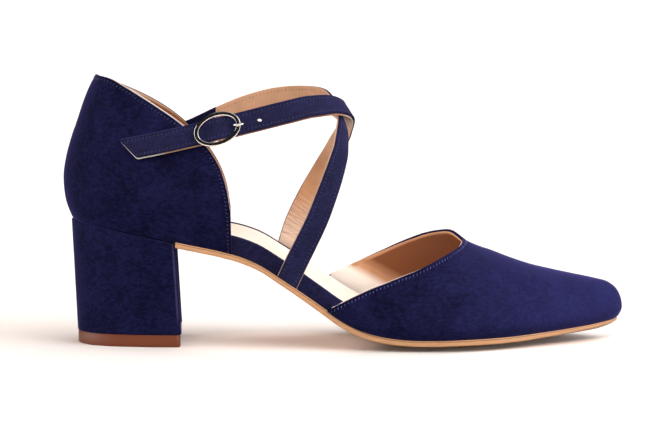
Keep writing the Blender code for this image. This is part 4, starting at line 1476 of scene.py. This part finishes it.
class SHOE_OT_outsole(bpy.types.Operator):
    """Makes the thin outsole with its dressed edge"""

    bl_idname = "shoe.outsole"
    bl_label = "Outsole"

    def execute(self, context):
        turns = np.linspace(turn_of(HEEL_BREAST + 0.25), math.pi, 150)
        x, y, depth, middle, arch = sole_plan(turns, OUTSOLE_DEPTHS, 25, -OUTSOLE_PROUD)
        near_heel = np.interp(x, (HEEL_BREAST, OUTSOLE_BACK_FADE), (1, 0)) ** 2
        x = x - breast_shift(middle, arch) * near_heel
        level = bed_height(x, middle)
        edge_thick = np.interp(x, (OUTSOLE_TAPER_FROM, TOE_TIP), (OUTSOLE_EDGE_THICK, OUTSOLE_TIP_THICK))
        thick = edge_thick + (OUTSOLE_THICK - edge_thick) * middle
        drop = edge_drop(depth, OUTSOLE_ROUND)
        rise, station, half_length = WAIST_LIP
        lip = OUTSOLE_LIP + rise * bump(x, station, half_length)
        lip = lip * np.interp(depth, OUTSOLE_DEPTHS[3::2], (1, 0))
        top = level - drop + lip
        bottom = np.maximum(level - thick, 0.0) + drop
        made = add_piece("outsole_leather", slab(x, y, top, bottom), "sole", "sole", "outsole")
        grid = np.stack((x, y, top), -1)
        edge = np.concatenate((grid[:, 0], grid[::-1, -1]))
        # A tone of 1 on the edge along the sole's top turns it dark
        paint(made, lambda points: 1.0 * (distance_to(points, edge) < 0.02))
        return {"FINISHED"}


def heel_loop(foot_share):
    """The heel's plan as a loop from its lateral front corner round the back, and its seat."""
    corner = HEEL_BREAST - HEEL_CORNER * (1 - np.sin(np.radians(np.linspace(0, 90, 9))))
    turns = np.concatenate((np.linspace(0, turn_of(corner[0]), 60)[:-1], turn_of(corner)))
    x, y, _, middle, arch = sole_plan(turns, (0.0,), 23, HEEL_INSET)
    y = y - edge_drop(HEEL_BREAST - x, HEEL_CORNER) * (2 * arch - 1)
    x = x - breast_shift(middle, arch) * np.clip(x / HEEL_BREAST, 0, 1) ** 4
    seat = bed_height(x, middle) - SEAM
    y = y * (1 + foot_share * (HEEL_FOOT_WIDTH_SHARE - 1))
    grid = np.stack((x + foot_share * HEEL_FOOT_SHIFT, y, seat), -1)
    return np.concatenate((grid[::-1, 0], grid[1:, -1], grid[-1, -2:0:-1]))


def inset_loop(loop, inset, height=None):
    """A loop of plan points moved inwards, with its heights kept or at one height."""
    along = np.roll(loop, -1, axis=0) - np.roll(loop, 1, axis=0)
    way = unit(np.stack((-along[:, 1], along[:, 0]), -1))
    middle = loop[:, :2].mean(0)
    if ((loop[:, :2] - middle) * way).sum() > 0:
        way = -way
    moved = loop.copy()
    moved[:, :2] += inset * way
    if height is not None:
        moved[:, 2] = height
    return moved


class SHOE_OT_heel(bpy.types.Operator):
    """Makes the covered block heel and its tap"""

    bl_idname = "shoe.heel"
    bl_label = "Heel"

    def execute(self, context):
        foot_z = TAP_THICK + SEAM
        seat_loop, foot_loop = heel_loop(0.0), heel_loop(1.0)
        rings = [inset_loop(seat_loop, inset) - (0.0, 0.0, drop) for inset, drop in HEEL_GROOVE]
        side_top = seat_loop[:, 2] - HEEL_GROOVE[-1][1]
        for share in np.linspace(0, 1, 40)[1:-1]:
            ring = seat_loop * (1 - share) + foot_loop * share
            ring[:, 2] = side_top * (1 - share) + (foot_z + HEEL_FOOT_ROUND) * share
            rings.append(ring)
        for inset in (0.0, 0.12, 0.3, HEEL_FOOT_ROUND):
            rings.append(inset_loop(foot_loop, inset, foot_z + edge_drop(inset, HEEL_FOOT_ROUND)))
        made = add_piece("heel_cover", closed_loft(rings), "suede", "suede", "heel")
        top_z = BED[2][1]

        # Painted highlight: a pale line along the heel's front corner on the near side, where light catches
        # the rounded corner
        def tone(points):
            x, y, z = points.T
            corner = HEEL_BREAST + HEEL_FOOT_SHIFT * (top_z - z) / (top_z - foot_z)
            return 0.4 * bump(corner - x, HEEL_PAINTED_HIGHLIGHT, 0.3) * (y < 0) * np.interp(z, (10, 14), (0, 1))

        paint(made, tone)
        rings = [inset_loop(foot_loop, TAP_INSET + inset, height) for inset, height in TAP]
        add_piece("heel_tap_rubber", closed_loft(rings), "tap", "tap", "heel_tap")
        return {"FINISHED"}


def stitch_tree():
    """Stitches along the rows of an edge mesh, each lying along its row and facing out."""
    tree = bpy.data.node_groups.new("stitch rows", "GeometryNodeTree")
    tree.interface.new_socket("Geometry", in_out="OUTPUT", socket_type="NodeSocketGeometry")
    for name in ("Geometry", "Pitch", "Length", "Thread", "Slant", "Material"):
        kind = name if name in ("Geometry", "Material") else "Float"
        tree.interface.new_socket(name, in_out="INPUT", socket_type="NodeSocket" + kind)
    given = add_node(tree, "NodeGroupInput").node.outputs
    rows = add_node(tree, "GeometryNodeMeshToCurve", {"Mesh": given["Geometry"]})
    spaced = {"Curve": rows, "Length": given["Pitch"]}
    places = add_node(tree, "GeometryNodeCurveToPoints", spaced, {"mode": "LENGTH"})
    kept = {"data_type": "FLOAT_VECTOR"}
    facing = add_node(tree, "GeometryNodeInputNamedAttribute", {"Name": "facing"}, kept, "Attribute")
    align = "FunctionNodeAlignRotationToVector"
    turned = add_node(tree, align, {"Vector": places.node.outputs["Tangent"]}, {"axis": "X"})
    turned = add_node(tree, align, {"Rotation": turned, "Vector": facing}, {"axis": "Z", "pivot_axis": "X"})
    lean = add_node(tree, "CombineXYZ", {"Z": given["Slant"]})
    lean = add_node(tree, "FunctionNodeEulerToRotation", {"Euler": lean})
    leaning = {"Rotation": turned, "Rotate By": lean}
    turned = add_node(tree, "FunctionNodeRotateRotation", leaning, {"rotation_space": "LOCAL"})
    size = add_node(tree, "CombineXYZ", {"X": given["Length"], "Y": given["Thread"], "Z": given["Thread"]})
    ball = add_node(tree, "GeometryNodeMeshUVSphere", {"Segments": 8, "Rings": 6, "Radius": 0.5})
    laid = {"Points": places, "Instance": ball, "Rotation": turned, "Scale": size}
    made = add_node(tree, "GeometryNodeInstanceOnPoints", laid)
    made = add_node(tree, "GeometryNodeRealizeInstances", {"Geometry": made})
    made = add_node(tree, "GeometryNodeSetShadeSmooth", {"Geometry": made})
    made = add_node(tree, "GeometryNodeSetMaterial", {"Geometry": made, "Material": given["Material"]})
    add_node(tree, "NodeGroupOutput", {"Geometry": made})
    return tree


def sewn_row(name, inset):
    """A row at a distance inside the cut edge of a sewn surface, with the way that it faces."""
    points, faces, cut = SEWN[name]
    tree = BVHTree.FromPolygons([tuple(p) for p in points], faces)
    run = run_of(cut)
    at = np.linspace(inset, run[-1] - inset, int(run[-1] / ROW_STEP))
    line = np.stack([np.interp(at, run, cut[:, k]) for k in range(3)], -1)
    along = unit(np.gradient(line, axis=0))
    row, facing = [], []
    for point, ahead in zip(line, along):
        _, normal, _, _ = tree.find_nearest(Vector(point))
        inwards = unit(np.cross(np.array(normal), ahead))
        tries = [tree.find_nearest(Vector(point + inset * way)) for way in (inwards, -inwards)]
        found, out, _, _ = min(tries, key=lambda hit: hit[3])
        row.append(found)
        facing.append(out)
    return np.array(row), np.array(facing)


def strap_row(line, route, out_mm):
    """A row over a strap through places along and across it, with the way that it faces."""
    route = np.array(route, float)
    run = run_of(route)
    at = np.linspace(0, run[-1], int(run[-1]))
    along, across = (np.interp(at, run, column) for column in route.T)
    points, out = on_strap(line, along, across, np.full(len(at), out_mm))
    return points, out * np.sign(out_mm)


class SHOE_OT_stitches(bpy.types.Operator):
    """Sews the rows of stitches along the edges of the vamp, the counter and the straps"""

    bl_idname = "shoe.stitches"
    bl_label = "Stitches"

    def execute(self, context):
        sizes = context.scene.shoe_sizes
        inset = sizes.stitch_inset / MM
        edge = sizes.strap / MM / 2 - inset

        def route(first, last, low, high):
            return (first, low), (last, low), (last, high), (first, high)

        tail, low_edge = inset + ROW_TAIL_SETBACK, edge - BUCKLE_SUEDE_INSET
        shown_route = route(BUCKLE_LINE.length - 1, tail, -edge, low_edge)
        lined_route = route(CROSSING[0], tail, -edge, low_edge)
        edge = edge - INSTEP_SUEDE_INSET
        instep_route = route(1, INSTEP_LINE.length - inset, -edge, edge)
        tree = stitch_tree()
        rows = [sewn_row("counter", inset)]
        rows.append(strap_row(BUCKLE_LINE, shown_route, STITCH_OUT))
        rows.append(strap_row(INSTEP_LINE, instep_route, STITCH_OUT))
        self.sew("suede_stitches", rows, tree, "thread")
        self.sew("vamp_stitches", [sewn_row("vamp", inset)], tree, "vamp_thread")
        rows = [sewn_row("counter_lining", inset)]
        rows.append(strap_row(BUCKLE_LINE, lined_route, STITCH_IN))
        rows.append(strap_row(INSTEP_LINE, instep_route, STITCH_IN))
        self.sew("lining_stitches", rows, tree, "lining_thread")
        return {"FINISHED"}

    def sew(self, name, rows, tree, thread):
        sizes = bpy.context.scene.shoe_sizes
        edges, start = [], 0
        for row, _ in rows:
            edges += [(start + k, start + k + 1) for k in range(len(row) - 1)]
            start += len(row)
        mesh = mesh_of(name, np.concatenate([row for row, _ in rows]), [], edges)
        held = mesh.attributes.new("facing", "FLOAT_VECTOR", "POINT")
        facing = np.concatenate([out for _, out in rows])
        held.data.foreach_set("vector", facing.astype(np.float32).ravel())
        made = add_object(name, mesh)
        sewing = modify(made, "NODES", node_group=tree)
        given = {
            "Pitch": sizes.stitch_pitch,
            "Length": sizes.stitch_length,
            "Thread": sizes.thread,
            "Slant": sizes.stitch_slant,
            "Material": material(thread),
        }
        for item in tree.interface.items_tree:
            if item.in_out == "INPUT" and item.name in given:
                sewing[item.identifier] = given[item.name]
        settle(made)
        if not made.data.polygons:
            raise RuntimeError(f"no stitches were made for {name}")
        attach(made, "root")


FLOOR_RADIUS = 120
# Painted light on the paper: the glow's colour, the middle of the glow under the arch, and the way and edge
# of the glow in front of the toe
WARM_GLOW = linear("ffd7c5")
WARM_PLACE = (88.0, -12.0, 0.0)
TOE_LIGHT = (0.634, -0.773, 0.0)
TOE_LIGHT_EDGE = (187.0, -29.5, 0.0)
SOFT_BOX = (0.6, 0.0, 0.8)
SOFT_BOX_COLOUR = linear("fffdfc")
WHITE = linear("ffffff")
LAMPS = (
    # name, power, from, spread, colour, lights, mirrored
    ("key", 2.15, (0.85, -0.4, 0.44), 60, WHITE, None, True),
    ("front", 1.8, (-0.15, -1.0, 0.2), 60, WHITE, "shoe light", False),
    ("back", 2.7, (-1.0, -0.1, 0.12), 60, WHITE, "shoe light", True),
    ("paper glow", 2.4, (0.0, 0.0, 1.0), 180, linear("ffebde"), "paper light", False),
)
CAMERA_LENS = 145.1
CAMERA_PLACE = (111.1, -1150.0, 150.2)
CAMERA_AIM = (111.1, 0.0, 56.1)


class SHOE_OT_stage(bpy.types.Operator):
    """Sets the paper floor, the soft light and the camera"""

    bl_idname = "shoe.stage"
    bl_label = "Stage"

    def execute(self, context):
        scene = context.scene
        scene.view_settings.view_transform = "Standard"
        self.light(self.paper(scene.shoe_colours.floor))
        scene.world = self.studio()
        camera = bpy.data.cameras.new("camera")
        camera.lens = CAMERA_LENS
        camera.sensor_width = 36
        camera.clip_end = 500
        eye = add_object("camera", camera)
        place, aim = (Vector(to_scene(at)) for at in (CAMERA_PLACE, CAMERA_AIM))
        eye.location = place
        eye.rotation_euler = (aim - place).to_track_quat("-Z", "Y").to_euler()
        scene.camera = eye
        return {"FINISHED"}

    def paper(self, colour):
        """A wide floor of white paper: matt and even, with painted light: a warm glow under the arch and in
        front of the toe that lightens the shadows there.
        """
        mesh = bpy.data.meshes.new("floor")
        builder = bmesh.new()
        bmesh.ops.create_circle(builder, cap_ends=True, segments=64, radius=FLOOR_RADIUS)
        builder.to_mesh(mesh)
        builder.free()
        paper, tree, shader, place = new_material(
            "white paper with painted glow", Roughness=0.9, Specular_IOR_Level=0.1
        )
        # Painted light: a warm glow on the paper under the arch stands in for light that the tan sole
        # throws down
        away = {0: place, 1: to_scene(WARM_PLACE)}
        away = add_node(tree, "VectorMath", away, {"operation": "DISTANCE"}, "Value")
        ends = {"From Min": 30 * MM, "From Max": 54 * MM, "To Min": 0.3, "To Max": 0.02}
        warmth = add_node(tree, "MapRange", {"Value": away, **ends}, SMOOTH)
        # Painted light: the paper glows in front of the toe, which shortens the toe's shadow
        ahead = add_node(tree, "VectorMath", {0: place, 1: TOE_LIGHT}, DOT, "Value")
        edge = Vector(TOE_LIGHT).dot(to_scene(TOE_LIGHT_EDGE))
        ends = {"From Min": edge - 5 * MM, "From Max": edge + 4 * MM, "To Max": 0.55}
        toe = add_node(tree, "MapRange", {"Value": ahead, **ends}, SMOOTH)
        glow = add_node(tree, "Math", {0: warmth, 1: toe})
        feed(tree, shader, {"Base Color": colour, "Emission Color": WARM_GLOW, "Emission Strength": glow})
        mesh.materials.append(paper)
        floor = add_object("floor", mesh)
        # The paper throws no light up under the shoe
        floor.visible_diffuse = False
        return floor

    def studio(self):
        """A large soft box above and to the right, with dark curtains low in front and on the left."""
        world = bpy.data.worlds.new("studio")
        world.use_nodes = True
        tree = world.node_tree
        way = add_node(tree, "TexCoord", output="Generated")
        toward = add_node(tree, "VectorMath", {0: way, 1: SOFT_BOX}, DOT, "Value")
        ends = {"From Min": 0.3, "From Max": 0.95, "To Min": 0.015, "To Max": 0.9}
        glow = add_node(tree, "MapRange", {"Value": toward, **ends}, SMOOTH)
        feed(tree, tree.nodes["Background"], {"Color": SOFT_BOX_COLOUR, "Strength": glow})
        return world

    def light(self, floor):
        """The paper has a glow of its own, and the front and back lamps light only the shoe."""
        groups = {None: None}
        for name, state in (("paper light", "INCLUDE"), ("shoe light", "EXCLUDE")):
            groups[name] = bpy.data.collections.new(name)
            groups[name].objects.link(floor)
            groups[name].collection_objects[0].light_linking.link_state = state
        # The same glow falls into the open shoe
        for name in ("vamp_lining", "sock"):
            groups["paper light"].objects.link(bpy.data.objects[name])
        for name, power, place, spread, colour, lights, mirrored in LAMPS:
            data = bpy.data.lights.new(name, "SUN")
            data.energy = power
            data.angle = math.radians(spread)
            data.color = colour
            made = add_object(name, data)
            made.location = place
            made.rotation_euler = Vector(place).to_track_quat("Z", "Y").to_euler()
            made.light_linking.receiver_collection = groups[lights]
            made.visible_glossy = mirrored


OPERATORS = (
    SHOE_OT_vamp,
    SHOE_OT_counter,
    SHOE_OT_straps,
    SHOE_OT_buckle,
    SHOE_OT_footbed,
    SHOE_OT_outsole,
    SHOE_OT_heel,
    SHOE_OT_stitches,
    SHOE_OT_stage,
)


class SHOE_PT_panel(bpy.types.Panel):
    """Lists the sizes, the colours and the pieces"""

    bl_label = "Cross-strap shoe"
    bl_space_type = "VIEW_3D"
    bl_region_type = "UI"
    bl_category = "Shoe"

    def draw(self, context):
        for group in (context.scene.shoe_sizes, context.scene.shoe_colours):
            box = self.layout.box()
            for name in group.__annotations__:
                box.prop(group, name)
        for operator in OPERATORS:
            self.layout.operator(operator.bl_idname)


CLASSES = (ShoeSizes, ShoeColours, *OPERATORS, SHOE_PT_panel)


def register():
    for kind in CLASSES:
        bpy.utils.register_class(kind)
    bpy.types.Scene.shoe_sizes = bpy.props.PointerProperty(type=ShoeSizes)
    bpy.types.Scene.shoe_colours = bpy.props.PointerProperty(type=ShoeColours)


def unregister():
    del bpy.types.Scene.shoe_colours
    del bpy.types.Scene.shoe_sizes
    for kind in reversed(CLASSES):
        bpy.utils.unregister_class(kind)


def main():
    register()
    bpy.ops.shoe.vamp()
    bpy.ops.shoe.counter()
    bpy.ops.shoe.straps()
    bpy.ops.shoe.buckle()
    bpy.ops.shoe.footbed()
    bpy.ops.shoe.outsole()
    bpy.ops.shoe.heel()
    bpy.ops.shoe.stitches()
    bpy.ops.shoe.stage()


if __name__ == "__main__":
    main()
